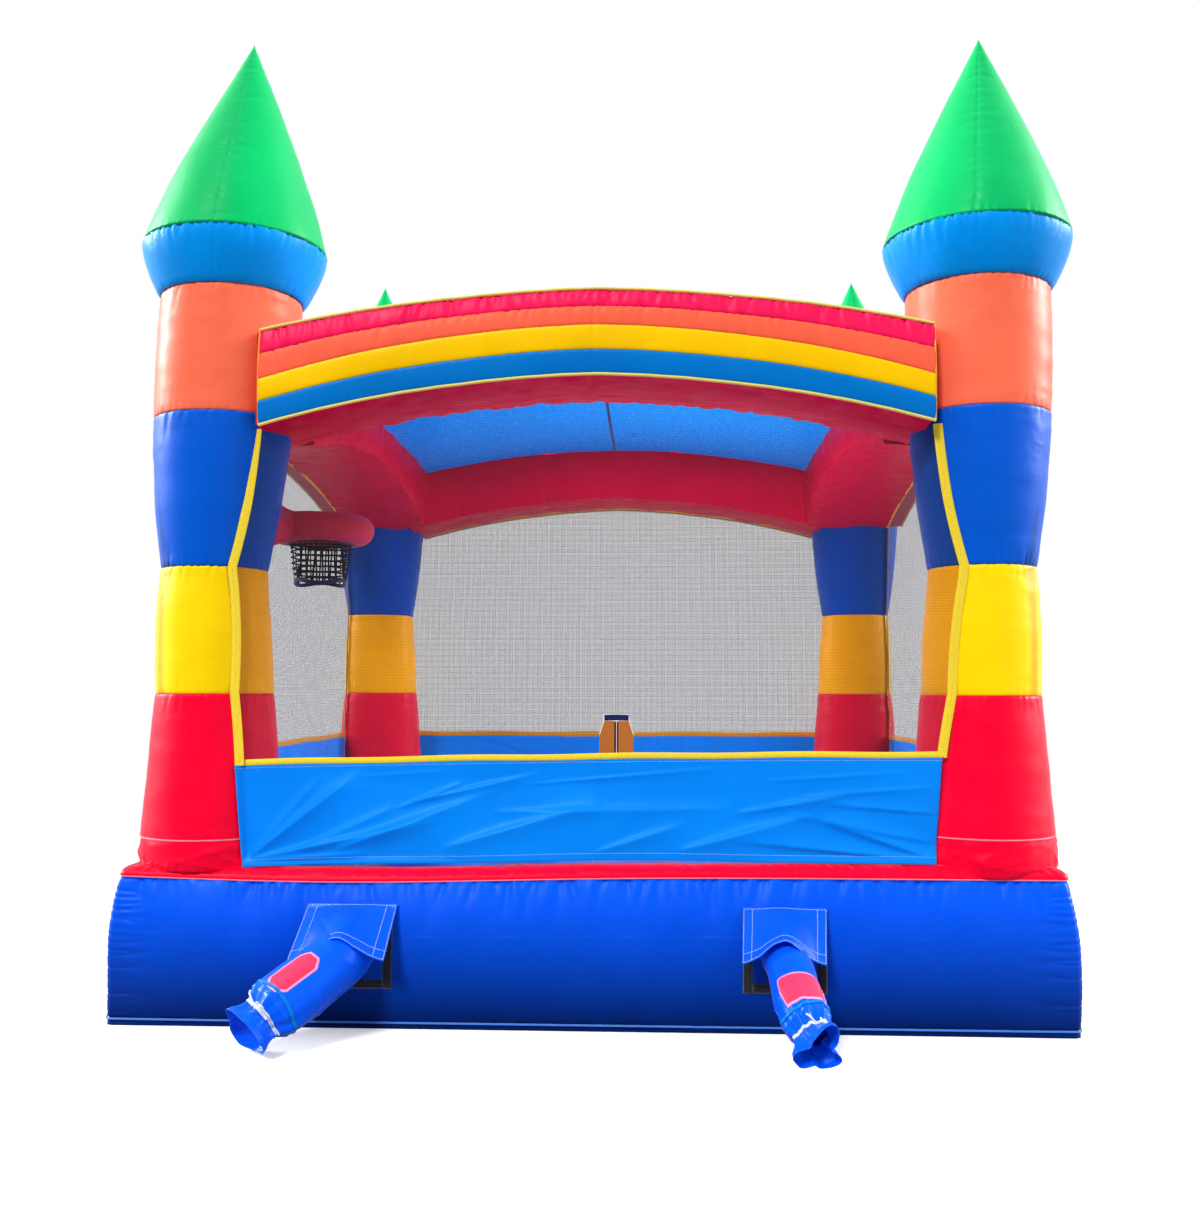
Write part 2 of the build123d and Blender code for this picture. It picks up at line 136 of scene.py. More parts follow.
world = bpy.data.worlds.new("sky")
bpy.context.scene.world = world
world.use_nodes = True
sky = world.node_tree
sky.nodes.clear()
direction = node(sky, "ShaderNodeSeparateXYZ", Vector=node(sky, "ShaderNodeTexCoord").outputs["Generated"])
height = sums(sky, "MULTIPLY_ADD", direction.outputs["Z"], 0.38, 0.62)
depth = sums(sky, "MULTIPLY_ADD", direction.outputs["Y"], 0.30, 0.45)
glow = sums(sky, "MULTIPLY", sums(sky, "MAXIMUM", height, 0.05), sums(sky, "MAXIMUM", depth, 0.1))
glow = sums(sky, "MULTIPLY", glow, 1.9)
light_rays = node(sky, "ShaderNodeBackground", Color=(0.93, 0.97, 1, 1), Strength=glow)
seen_rays = node(sky, "ShaderNodeBackground", Color=(1, 1, 1, 1), Strength=1.0)
node(sky, "ShaderNodeOutputWorld", Surface=by_ray(sky, light_rays.outputs[0], seen_rays.outputs[0]))


def sun(name, strength, angle, azimuth, elevation):
    """A soft sun that shines from an azimuth, 0 being behind the camera, and a height, in degrees."""
    lamp = bpy.data.lights.new(name, "SUN")
    lamp.energy = strength
    lamp.angle = math.radians(angle)
    made = placed(name, lamp)
    a, e = math.radians(azimuth), math.radians(elevation)
    source = Vector((math.sin(a) * math.cos(e), -math.cos(a) * math.cos(e), math.sin(e)))
    made.rotation_mode = "QUATERNION"
    made.rotation_quaternion = source.to_track_quat("Z", "Y")


sun("key", 2.8, 14, -24, 42)
sun("fill", 0.6, 60, 45, 10)
sun("rim_left", 4.4, 25, -104, 24)
sun("rim_right", 4.0, 25, 104, 24)
glow_lamp = bpy.data.lights.new("inside", "POINT")
glow_lamp.energy = 104
glow_lamp.color = (1.0, 0.90, 0.80)
glow_lamp.shadow_soft_size = 0.6
inside = placed("inside", glow_lamp)
inside.location = (0.30, -0.2, 1.55)
inside.visible_glossy = False

floor_mesh = bpy.data.meshes.new("floor")
floor_mesh.from_pydata([(-4.5, -4.5, 0), (4.5, -4.5, 0), (4.5, 4.5, 0), (-4.5, 4.5, 0)], [], [(0, 1, 2, 3)])
floor = placed("floor", floor_mesh)
floor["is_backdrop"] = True
floor_look = bpy.data.materials.new("floor")
floor_look.use_nodes = True
floor_mesh.materials.append(floor_look)
tree = floor_look.node_tree
tree.nodes.clear()
pale = node(tree, "ShaderNodeBsdfDiffuse", Color=(0.80, 0.80, 0.80, 1))
lift = node(tree, "ShaderNodeEmission", Color=(1, 1, 1, 1), Strength=0.36)
both = fill(tree, node(tree, "ShaderNodeAddShader"), (pale.outputs[0], lift.outputs[0]))
dim = node(tree, "ShaderNodeBsdfDiffuse", Color=(0.28, 0.28, 0.28, 1))
node(tree, "ShaderNodeOutputMaterial", Surface=by_ray(tree, dim.outputs[0], both))

# ------------------------------------------------------------------ materials


def linear(r, g, b):
    """An 8-bit screen colour as linear RGBA."""
    out = [v / 12.92 if v <= 0.04045 else ((v + 0.055) / 1.055) ** 2.4 for v in (r / 255, g / 255, b / 255)]
    return (*out, 1.0)


def start_material(name, roughness, specular):
    """A new material, its tree, a function that sets or links its shader's sockets, and its coordinates."""
    made = bpy.data.materials.new(name)
    made.use_nodes = True
    tree = made.node_tree
    sockets = tree.nodes["Principled BSDF"].inputs

    def put(**values):
        for key, value in values.items():
            socket = sockets[key.replace("_", " ")]
            if isinstance(value, bpy.types.NodeSocket):
                tree.links.new(value, socket)
            else:
                socket.default_value = value

    put(Roughness=roughness, Specular_IOR_Level=specular)
    return made, tree, put, node(tree, "ShaderNodeTexCoord").outputs["Object"]


def axes_of(tree, coords):
    """A place's X, Y and Z sockets."""
    return node(tree, "ShaderNodeSeparateXYZ", Vector=coords).outputs


def mixed(tree, **values):
    """A colour mixed from A to B by a factor."""
    return node(tree, "ShaderNodeMix", data_type="RGBA", **values).outputs["Result"]


def tinted(tree, colour, dark, factor):
    """A colour socket that goes from a darker shade to the colour as the factor goes from 0 to 1."""
    return mixed(tree, A=(*[c * dark for c in colour[:3]], 1), B=colour, Factor=factor)


def ranged(tree, value, *limits):
    """A value mapped from one range to another: from low, high to low, high."""
    made = node(tree, "ShaderNodeMapRange")
    fill(tree, made, (value, *limits))
    return made.outputs["Result"]


def bumped(tree, height, strength, distance, **before):
    """A bump over an earlier one."""
    made = node(tree, "ShaderNodeBump", Strength=strength, Distance=distance, Height=height, **before)
    return made.outputs["Normal"]


def noised(tree, coords, **values):
    """Smooth noise over the object."""
    return node(tree, "ShaderNodeTexNoise", Vector=coords, **values).outputs["Fac"]


def waved(tree, coords, direction, scale, distortion=0.0):
    """Bands of waves over the object."""
    values = {"Vector": coords, "Scale": scale, "Distortion": distortion, "bands_direction": direction}
    return node(tree, "ShaderNodeTexWave", **values).outputs["Fac"]


WHITE = (1, 1, 1)


def vinyl(
    name, rgb, roughness=0.40, creases=0.10, specular=0.30, painted_ground_shade=None, sheen=0.14, glow=WHITE, inner=None,
):
    """Coated polyester: a faint woven grain, soft creases, cloudy colour, worn edges and dulled patches.
    If asked, its colour is also painted with shade: darker towards the ground, and darker and warmer inside
    the nets."""
    made, tree, put, coords = start_material(name, roughness, specular)
    colour = linear(*rgb)
    cloud = noised(tree, coords, Scale=2.3, Detail=4, Roughness=0.55)
    shade = tinted(tree, colour, 0.90, ranged(tree, cloud, 0.32, 0.62, 0, 1))
    # painted shade: the colour is multiplied darker towards the ground
    if painted_ground_shade:
        height = axes_of(tree, coords)["Z"]
        shade = mixed(tree, blend_type="MULTIPLY", Factor=1, A=shade, B=ranged(tree, height, *painted_ground_shade))
    # painted shade: inside the nets the colour is darkened and warmed, standing for the shade and warm bounce
    # light there
    if inner:
        axes = axes_of(tree, coords)
        outmost = sums(tree, "MAXIMUM", *[sums(tree, "ABSOLUTE", axes[axis]) for axis in "XY"])
        within = ranged(tree, outmost, NET_OUT - 0.02, NET_OUT, 1, 0)
        shade = mixed(tree, blend_type="MULTIPLY", B=(*inner, 1), Factor=within, A=shade)
    worn = ranged(tree, node(tree, "ShaderNodeNewGeometry").outputs["Pointiness"], 0.56, 0.68, 0, 0.5)
    put(Base_Color=mixed(tree, B=(*[c * 0.88 + 0.04 for c in colour[:3]], 1), Factor=worn, A=shade))
    patches = noised(tree, coords, Scale=7, Detail=3)
    put(Roughness=ranged(tree, patches, 0.3, 0.7, roughness - 0.05, roughness + 0.10))
    crumple = noised(tree, coords, Scale=11, Detail=5, Roughness=0.5, Distortion=0.9)
    ridge = sums(tree, "ABSOLUTE", sums(tree, "SUBTRACT", crumple, 0.5))
    weave = sums(tree, "MULTIPLY", *[waved(tree, coords, way, 120) for way in ("DIAGONAL", "Z")])
    put(Normal=bumped(tree, weave, 0.12, 0.0006, Normal=bumped(tree, ridge, creases, 0.02)))
    put(Specular_Tint=(*[0.15 + 0.85 * c for c in colour[:3]], 1))
    put(Sheen_Weight=sheen, Sheen_Tint=(*glow, 1), Sheen_Roughness=0.25)
    put(Coat_Weight=0.02, Coat_Roughness=0.30)
    return made


def netting(name, rgb, first, second, cell, strand, roughness=0.8):
    """Woven mesh: square holes cut by strands that run along two of the object's axes."""
    made, tree, put, coords = start_material(name, roughness, 0.2)
    axes = axes_of(tree, coords)
    held = []
    for axis in (first, second):
        across = sums(tree, "FRACT", sums(tree, "DIVIDE", axes[axis], cell))
        held.append(sums(tree, "LESS_THAN", across, strand))
    fuzz = noised(tree, coords, Scale=40, Detail=3)
    put(Alpha=sums(tree, "MAXIMUM", *held), Normal=bumped(tree, fuzz, 0.3, 0.001))
    put(Base_Color=tinted(tree, linear(*rgb), 0.7, ranged(tree, fuzz, 0.3, 0.7, 0, 1)))
    return made


def woven(name, rgb, period, roughness=0.75, depth=0.0008, sheen=0.3):
    """Webbing, tape, cord or hook-and-loop: ribs at the yarn's own size, with a little fuzz."""
    made, tree, put, coords = start_material(name, roughness, 0.25)
    ribs = waved(tree, coords, "DIAGONAL", 0.314 / period, 0.6)
    cross = waved(tree, coords, "Z", 0.314 / period, 0.4)
    fuzz = noised(tree, coords, Scale=160, Detail=3)
    rough = sums(tree, "ADD", sums(tree, "MAXIMUM", ribs, cross), fuzz)
    put(Base_Color=tinted(tree, linear(*rgb), 0.62, ranged(tree, rough, 0.6, 1.5, 0, 1)))
    put(Normal=bumped(tree, rough, 0.5, depth), Sheen_Weight=sheen)
    return made


def metal(name, rgb, roughness):
    """Plated or brushed metal with fine scratches."""
    made, tree, put, coords = start_material(name, roughness, 0.5)
    scratch = noised(tree, coords, Scale=220, Detail=4, Distortion=1.5)
    put(Metallic=1.0, Normal=bumped(tree, scratch, 0.15, 0.0004))
    put(Base_Color=tinted(tree, linear(*rgb), 0.7, ranged(tree, scratch, 0.35, 0.6, 0, 1)))
    put(Roughness=ranged(tree, scratch, 0.3, 0.7, roughness - 0.08, roughness + 0.15))
    return made


NET_OUT = (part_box("right_wall")[0].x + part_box("right_wall")[1].x) / 2
LOOK = {
    # The base's blue carries painted shade that deepens towards the ground.
    "base_blue": vinyl("base_blue", (0, 86, 240), painted_ground_shade=(0.03, 0.60, 0.16, 1.08)),
    "sleeve_blue": vinyl("sleeve_blue", (0, 90, 245), roughness=0.28, creases=0.16, specular=0.45),
    # The red, yellow and blue are painted with darker, warmer shade inside the nets.
    "red": vinyl("red", (250, 0, 48), inner=(0.80, 0.2, 1.0)),
    # The hoop's red is the red dulled and greyed: painted shade and net haze for the hoop hanging inside the
    # front net.
    "hoop_red_shaded": vinyl("hoop_red_shaded", (208, 48, 74), roughness=0.5, sheen=0.05),
    "yellow": vinyl("yellow", (255, 214, 4), inner=(1.0, 0.62, 1.0)),
    "blue": vinyl("blue", (4, 90, 210), inner=(0.6, 0.66, 0.58)),
    "orange": vinyl("orange", (255, 112, 80)),
    "green": vinyl("green", (0, 182, 98), specular=0.22, sheen=0.16, glow=(0.15, 0.95, 1.0)),
    "band_blue": vinyl("band_blue", (0, 155, 252)),
    "azure": vinyl("azure", (0, 130, 238), roughness=0.46, creases=0.12),
    # The walls' and door leaves' azure is the azure brightened, with less sheen: painted light making up for
    # the shade on the walls inside the nets.
    "wall_azure_brightened": vinyl("wall_azure_brightened", (0, 150, 255), roughness=0.46, creases=0.12, sheen=0.04),
    "floor_blue": vinyl("floor_blue", (0, 105, 210), roughness=0.46),
    "inner_white": vinyl("inner_white", (225, 225, 225), roughness=0.5),
    "pink": vinyl("pink", (250, 24, 88)),
    "coral": vinyl("coral", (255, 100, 70)),
    "gold": vinyl("gold", (255, 200, 0)),
    "stripe_blue": vinyl("stripe_blue", (0, 118, 205)),
    # The beams' red is the columns' red made darker and less glossy; the darkening is painted shade for their
    # shaded undersides.
    "beam_red_shaded": vinyl("beam_red_shaded", (226, 0, 56), specular=0.08, sheen=0.0),
    # The entrance strips' colour is their yellow trim darkened to orange: painted shade.
    "door_yellow_shaded": vinyl("door_yellow_shaded", (235, 140, 45), roughness=0.5),
    "patch_red": vinyl("patch_red", (232, 58, 96), roughness=0.45),
    "patch_pink": vinyl("patch_pink", (250, 150, 185), roughness=0.45),
    "roof_mesh": netting("roof_mesh", (4, 158, 255), "X", "Y", 0.007, 0.90),
    # The front net's strands are darker than the other nets': painted shade for strands hanging in shadow.
    "net_front_shaded": netting("net_front_shaded", (72, 70, 70), "X", "Z", 0.0065, 0.085),
    "net_x": netting("net_x", (118, 122, 124), "X", "Z", 0.0065, 0.30),
    "net_y": netting("net_y", (118, 122, 124), "Y", "Z", 0.0065, 0.30),
    "hoop_mesh": netting("hoop_mesh", (14, 16, 24), "X", "Z", 0.026, 0.30),
    "tape_yellow": woven("tape_yellow", (250, 218, 35), 0.003, roughness=0.6),
    "piping_pale": woven("piping_pale", (250, 225, 110), 0.003, roughness=0.55),
    "piping_gold": woven("piping_gold", (255, 176, 30), 0.003, roughness=0.6),
    "navy": woven("navy", (14, 30, 95), 0.002),
    "hook_loop": woven("hook_loop", (16, 20, 24), 0.0022, roughness=0.9, sheen=0.5),
    "thread": woven("thread", (190, 214, 250), 0.0012, roughness=0.6),
    "seam_light": woven("seam_light", (70, 135, 240), 0.003, roughness=0.5),
    "seam_rose": woven("seam_rose", (255, 128, 150), 0.002, roughness=0.5),
    "cord": woven("cord", (225, 232, 242), 0.0025, roughness=0.7),
    "zip_tape": woven("zip_tape", (24, 26, 34), 0.0015),
    "zip_metal": metal("zip_metal", (150, 152, 158), 0.35),
    "brass": metal("brass", (205, 172, 95), 0.30),
}

# ------------------------------------------------------------------ shaping helpers


def clamp(value):
    """A value kept between 0 and 1."""
    return np.clip(value, 0, 1)


def hump(distance, width):
    """1 at no distance, and a smooth fall to 0 over about twice the width."""
    return np.exp(-((distance / width) ** 2))


def near(distance, reach):
    """1 at no distance, dying out with it."""
    return np.exp(-distance / reach)


def xyz(x, y, z):
    """Points from coordinates that fit together."""
    return np.stack(np.broadcast_arrays(x, y, z), -1)


def unit(vectors):
    """Vectors of length 1."""
    return vectors / np.linalg.norm(vectors, axis=-1, keepdims=True)


LATTICE = np.random.default_rng(11).random((40, 40, 40))


def noise(points, size, seed=0):
    """Smooth noise from -1 to 1 at each point, in lumps of about that size."""
    q = np.asarray(points, float) / size + 7.31 * (seed + 1)
    low = np.floor(q).astype(int)
    part = q - low
    part = part * part * (3 - 2 * part)
    total = np.zeros(q.shape[:-1])
    for corner in itertools.product((0, 1), repeat=3):
        index = (low + corner) % 40
        weight = np.prod(np.where(corner, part, 1 - part), axis=-1)
        total += weight * LATTICE[index[..., 0], index[..., 1], index[..., 2]]
    return 2 * total - 1


def creased(points, size, seed=0, sharpness=6.0):
    """Thin ridges from 0 to 1, like the creases of folded cloth."""
    return (1 - np.abs(noise(points, size, seed))) ** sharpness


def pleats(along, away, length, pitch, depth, reach, seed):
    """How far a gathered seam of that length draws the cloth in: its folds widen and die out away from it."""
    random = np.random.default_rng(seed)
    count = max(4, int(length / pitch))
    centres = (np.arange(count) + random.uniform(-0.38, 0.38, count)) * length / count
    deeps = depth * random.uniform(0.25, 1.0, count) ** 1.3
    reaches = reach * random.uniform(0.35, 1.5, count)
    leans = random.uniform(-0.3, 0.3, count)
    along, away = np.broadcast_arrays(along, away)
    drawn = np.zeros(along.shape)
    inside = away < 3.2 * reach
    s, d = along[inside], away[inside]
    pulled = np.zeros(s.shape)
    width = 0.20 * pitch + 0.11 * d
    for centre, deep, far, lean in zip(centres, deeps, reaches, leans):
        offset = (s - centre - lean * d + length / 2) % length - length / 2
        pulled -= deep * np.exp(-((offset / width) ** 2) - d / far)
    drawn[inside] = pulled
    return drawn


def new_piece(name, points, faces, look, sharp=None):
    """A mesh object from points and faces, smooth shaded."""
    mesh = bpy.data.meshes.new(name)
    mesh.from_pydata(np.asarray(points, float).reshape(-1, 3).tolist(), [], faces)
    mesh.polygons.foreach_set("use_smooth", [True] * len(mesh.polygons))
    if sharp is not None:
        mesh.set_sharp_from_angle(angle=math.radians(sharp))
    mesh.materials.append(LOOK[look])
    mesh.update()
    return placed(name, mesh)


def grid_faces(rows, columns, round_columns=False, round_rows=False, flip=False, start=0, capped=False):
    """Quads over a grid of points, closed round either way and capped at its ends if asked."""
    index = start + np.arange(rows * columns).reshape(rows, columns)
    if round_columns:
        index = np.concatenate([index, index[:, :1]], 1)
    if round_rows:
        index = np.concatenate([index, index[:1]], 0)
    quads = np.stack([index[:-1, :-1], index[:-1, 1:], index[1:, 1:], index[1:, :-1]], -1).reshape(-1, 4)
    faces = (quads[:, ::-1] if flip else quads).tolist()
    if capped:
        faces += [index[0, :columns].tolist(), index[-1, :columns][::-1].tolist()]
    return faces


def thickened(piece, thick):
    """Gives a sheet its cloth's thickness."""
    skin = piece.modifiers.new("thickness", "SOLIDIFY")
    skin.thickness = thick
    skin.offset = 0
    return piece


def grid(name, points, look, round_columns=False, round_rows=False, flip=False, sharp=None, thick=0.0):
    """A sheet or tube from rows of points, and a thickness if it is cloth that shows its edge."""
    points = np.asarray(points, float)
    faces = grid_faces(*points.shape[:2], round_columns, round_rows, flip)
    made = new_piece(name, points, faces, look, sharp)
    return thickened(made, thick) if thick else made


def normals_of(points, round_columns=False):
    """Unit normals of a grid of points."""
    if round_columns:
        across = np.roll(points, -1, 1) - np.roll(points, 1, 1)
    else:
        across = np.gradient(points, axis=1)
    down = np.gradient(points, axis=0)
    found = np.cross(across, down)
    return found / np.maximum(np.linalg.norm(found, axis=-1, keepdims=True), 1e-12)


def sweep(name, line, normal, outline, look, closed=False):
    """A strip or tube: a closed outline of (sideways, outward) offsets carried along a line on a surface."""
    line = np.asarray(line, float)
    normal = np.broadcast_to(np.asarray(normal, float), line.shape)
    if closed:
        tangent = np.roll(line, -1, 0) - np.roll(line, 1, 0)
    else:
        tangent = np.gradient(line, axis=0)
    tangent = unit(tangent)
    side = unit(np.cross(normal, tangent))
    outward = np.cross(tangent, side)
    outline = np.asarray(outline, float)
    points = line[:, None] + side[:, None] * outline[None, :, :1] + outward[:, None] * outline[None, :, 1:]
    faces = grid_faces(*points.shape[:2], round_columns=True, round_rows=closed, flip=True, capped=not closed)
    return new_piece(name, points, faces, look, sharp=40)


def round_outline(radius, count=10, flat=1.0):
    """A round outline, or an oval one."""
    turn = np.arange(count) * TAU / count
    return np.stack([radius * np.cos(turn), radius * flat * np.sin(turn)], -1)


def tape_outline(start, end, thick):
    """A flat tape between two sideways offsets, crowned a little, lying on its surface."""
    width = end - start
    places = np.array([0, 0.06, 0.3, 0.5, 0.7, 0.94, 1.0])
    crown = np.array([0.35, 0.8, 1.0, 0.92, 1.0, 0.8, 0.35])
    top = np.stack([start + width * places, thick * crown], -1)
    return np.concatenate([top, [[end, -0.0008], [start, -0.0008]]])


def stitches(name, line, normal, look="thread", dash=0.0065, gap=0.0035, width=0.0022, high=0.0012):
    """A row of stitches: short raised dashes along a line."""
    line = np.asarray(line, float)
    normal = np.broadcast_to(np.asarray(normal, float), line.shape)
    steps = np.linalg.norm(np.diff(line, axis=0), axis=1)
    reach = np.concatenate([[0], np.cumsum(steps)])
    count = max(1, int(reach[-1] / (dash + gap)))
    points, faces = [], []
    for k in range(count):
        start = (k + 0.2) * reach[-1] / count
        ends = []
        for spot in (start, start + dash):
            place = np.array([np.interp(spot, reach, line[:, i]) for i in range(3)])
            out = np.array([np.interp(spot, reach, normal[:, i]) for i in range(3)])
            ends.append((place, unit(out)))
        (first, out), (second, _) = ends
        side = np.cross(second - first, out)
        side *= width / 2 / np.linalg.norm(side)
        base = len(points)
        middle = (first + second) / 2
        for place, lift, wide in ((first, 0.1, 0.6), (middle, 1.0, 1.0), (second, 0.1, 0.6)):
            foot = place - out * 0.0004
            points += [foot - side * wide, place + out * high * lift, foot + side * wide]
        for row in (0, 3):
            a = base + row
            faces += [(a, a + 1, a + 4, a + 3), (a + 1, a + 2, a + 5, a + 4), (a + 2, a, a + 3, a + 5)]
        faces += [(base + 2, base + 1, base), (base + 6, base + 7, base + 8)]
    return new_piece(name, points, faces, look)


def area_under(heights, places):
    """The area under a line of heights at those places."""
    return float(np.sum((heights[1:] + heights[:-1]) / 2 * np.diff(places)))


def settle(piece, body, slot, *nodes):
    """Hangs a piece on the body it rides on and hides the CAD nodes it stands for; the slot is not used."""
    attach(piece, body)
    if nodes:
        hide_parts(*nodes)
    return piece


def even_rows(low, high, count, finer=0.6):
    """Heights that crowd towards both ends, where the seams are."""
    t = np.linspace(0, 1, count)
    t = t - finer * np.sin(TAU * t) / TAU
    return low + (high - low) * t


SIDES = {
    "front": ((1, 0), (0, -1)),
    "right": ((0, 1), (1, 0)),
    "back": ((-1, 0), (0, 1)),
    "left": ((0, -1), (-1, 0)),
}
HANDS = {-1: "left", 1: "right"}
CORNERS = {"front_left": (-1, -1), "front_right": (1, -1), "back_left": (-1, 1), "back_right": (1, 1)}


def at(side, along, outward, z):
    """Points from a side's own measures: along its wall, outward from the centre, and height."""
    along, outward, z = np.broadcast_arrays(along, outward, z)
    (ax, ay), (ox, oy) = SIDES[side]
    return np.stack([along * ax + outward * ox, along * ay + outward * oy, z], -1)


def out_of(side):
    """A side's outward direction."""
    return np.array([*SIDES[side][1], 0.0])


def wear(name, look):
    """Shows a CAD node itself, in one of the looks."""
    mesh = frame["nodes"][name].data
    mesh.materials.clear()
    mesh.materials.append(LOOK[look])


def cad(name):
    """A CAD node's vertices."""
    return np.array([v.co for v in frame["nodes"][name].data.vertices], float)


# ------------------------------------------------------------------ columns and spires

foot_low, foot_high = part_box("front_right_column_red")
COLUMN_AT = (foot_low.x + foot_high.x) / 2
PANELS = ("red", "yellow", "blue", "orange")


def outer_radius(name, z, centre):
    """The CAD node's outer radius at a height, round a centre."""
    points = cad(name)
    level = points[np.abs(points[:, 2] - z) < 0.0015]
    return float(np.hypot(level[:, 0] - centre[0], level[:, 1] - centre[1]).max())


middle = (COLUMN_AT, -COLUMN_AT)
RING_Z = [foot_low.z, 0.722]
RING_R = [outer_radius("front_right_column_red", z, middle) for z in RING_Z]
for colour in PANELS:
    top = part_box(f"front_right_column_{colour}")[1].z
    RING_Z.append(top)
    RING_R.append(outer_radius(f"front_right_column_{colour}", top, middle))
BELLY = 0.006
TRIM_Z = [0.61, 0.75, 0.98, 1.33, 1.58, 1.83, 2.15, 2.42, 2.55, 3.05]
TRIM_R = [0.032, 0.020, 0.022, 0.008, 0.010, 0.013, 0.005, 0.004, 0.006, 0.007]
INSET = ([0.60, 1.30, 1.75], [0.014, 0.012, 0.0])  # how far the column leans in below its waist
ANKLE_Z = 0.766


def column_radius(z):
    """The column's radius at a height, with each panel's belly."""
    z = np.asarray(z, float)
    radius = np.interp(z, RING_Z, RING_R) - np.interp(z, TRIM_Z, TRIM_R)
    share = np.zeros_like(z)
    for low, high in zip(RING_Z, RING_Z[1:]):
        inside = (z >= low) & (z <= high)
        share = np.where(inside, (z - low) / (high - low), share)
    return radius + BELLY * np.sin(math.pi * share)


def lean(points, corner):
    """The front left column's top leans inward as it does in the photograph; the others stand straight."""
    if corner != "front_left":
        return points
    moved = np.array(points, float)
    above = np.maximum(moved[..., 2] - 1.75, 0)
    moved[..., 0] += 0.050 * above**2 / (above + 0.25)
    return moved


def turned(corner, radius, turn, z):
    """Points round a corner column's axis."""
    x, y = CORNERS[corner]
    radius, turn, z = np.broadcast_arrays(radius, turn, z)
    centre = COLUMN_AT - np.interp(z, *INSET)
    return np.stack([x * centre + radius * np.cos(turn), y * centre + radius * np.sin(turn), z], -1)


def tucked(corner, radius, heights):
    """A round panel's points, with its two ends tucked into the seams."""
    first = turned(corner, radius[:1] - 0.03, turns[None], heights[:1] + 0.002)
    last = turned(corner, radius[-1:] - 0.03, turns[None], heights[-1:] - 0.002)
    return lean(np.concatenate([first, turned(corner, radius, turns[None], heights), last]), corner)


def round_from(seam_turn, radius):
    """How far round a column its points are from an upright seam."""
    return np.abs((turns[None] - seam_turn + math.pi) % TAU - math.pi) * radius


AROUND = 260
turns = np.arange(AROUND) * TAU / AROUND


def ankle_seam(corner, points, heights, ankle_z):
    """The seam round a column's lowest panel."""
    nearest = int(np.argmin(np.abs(heights[:, 0] - ankle_z)))
    outward = xyz(np.cos(turns), np.sin(turns), 0)
    line = points[nearest + 1] * [1, 1, 0] + [0, 0, ankle_z]
    outline = tape_outline(-0.003, 0.003, 0.0022)
    piece = sweep(f"{corner}_ankle_seam", line, outward, outline, "seam_rose", closed=True)
    settle(piece, "root", "vinyl_red")


def column_panel(corner, panel, seed, seam_turn, ankle_z):
    """One round panel of a column, puckered along its seams; the lowest has folds under its ankle seam."""
    colour = PANELS[panel]
    low = RING_Z[0] if panel == 0 else RING_Z[panel + 1]
    high = RING_Z[panel + 2]
    heights = even_rows(low, high, 58 if panel == 0 else 46)[:, None]
    radius = column_radius(heights) + 0 * turns[None]
    around = turns[None] * column_radius((low + high) / 2)
    girth = TAU * float(column_radius((low + high) / 2))
    points = turned(corner, radius, turns[None], heights)
    radius = radius + pleats(around, heights - low, girth, 0.036, 0.0050, 0.040, seed)
    radius = radius + pleats(around, high - heights, girth, 0.034, 0.0052, 0.045, seed + 100)
    stretched = points * [1, 1, 3.2]
    radius = radius + 0.0018 * noise(stretched, 0.20, seed) + 0.0007 * noise(stretched, 0.08, seed + 1)
    bands = creased(points * [1, 1, 5.0], 0.30, seed + 2, 9)
    radius = radius + 0.0016 * bands * (0.5 + 0.5 * noise(points, 0.25, seed + 3))
    radius = radius - 0.0035 * near(heights - low, 0.006) - 0.0035 * near(high - heights, 0.006)
    if panel == 0:
        band = np.exp(-(((heights - (low + ankle_z) / 2) / 0.065) ** 4))
        for lean_of, level in ((0.9, 3.4), (-0.8, 3.0)):
            slanted = xyz(around * 0.8, lean_of * around + level * heights, 0)
            radius = radius + band * 0.0058 * creased(slanted, 0.16, seed + 7 + int(level), 7)
        radius = radius - 0.0045 * hump(heights - ankle_z, 0.006)
        radius = radius + pleats(around, np.abs(heights - ankle_z), girth, 0.07, 0.003, 0.025, seed + 33)
    away = round_from(seam_turn, radius)
    radius = radius - 0.0030 * hump(away, 0.006)
    radius = radius + pleats(heights, away, 4.0, 0.05, 0.0060, 0.05, seed + 200)
    points = tucked(corner, radius, heights)
    piece = grid(f"{corner}_{colour}_panel", points, colour, round_columns=True)
    settle(piece, "root", f"vinyl_{colour}", f"{corner}_column_{colour}")
    if panel == 0:
        ankle_seam(corner, points, heights, ankle_z)


for number, corner in enumerate(CORNERS):
    corner_x, corner_y = CORNERS[corner]
    seam_turn = math.atan2(-corner_y, -corner_x) + (0.9 if corner_x < 0 else -0.9)
    ankle_z = ANKLE_Z - (0.026 if corner == "front_left" else 0)
    for panel in range(len(PANELS)):
        column_panel(corner, panel, 10 * number + panel, seam_turn, ankle_z)

neck_z = RING_Z[-1]
neck_r = RING_R[-1]
cone_low, cone_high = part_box("front_right_spire_cone")
band_top_z = cone_low.z - 0.038
eaves_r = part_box("spire_bands")[1].x - COLUMN_AT
band_top_r = eaves_r * 0.985
# How far the front tips stand over and up in the photograph
TIPS = {"front_left": (0.014, 0.012), "front_right": (0.028, -0.026)}


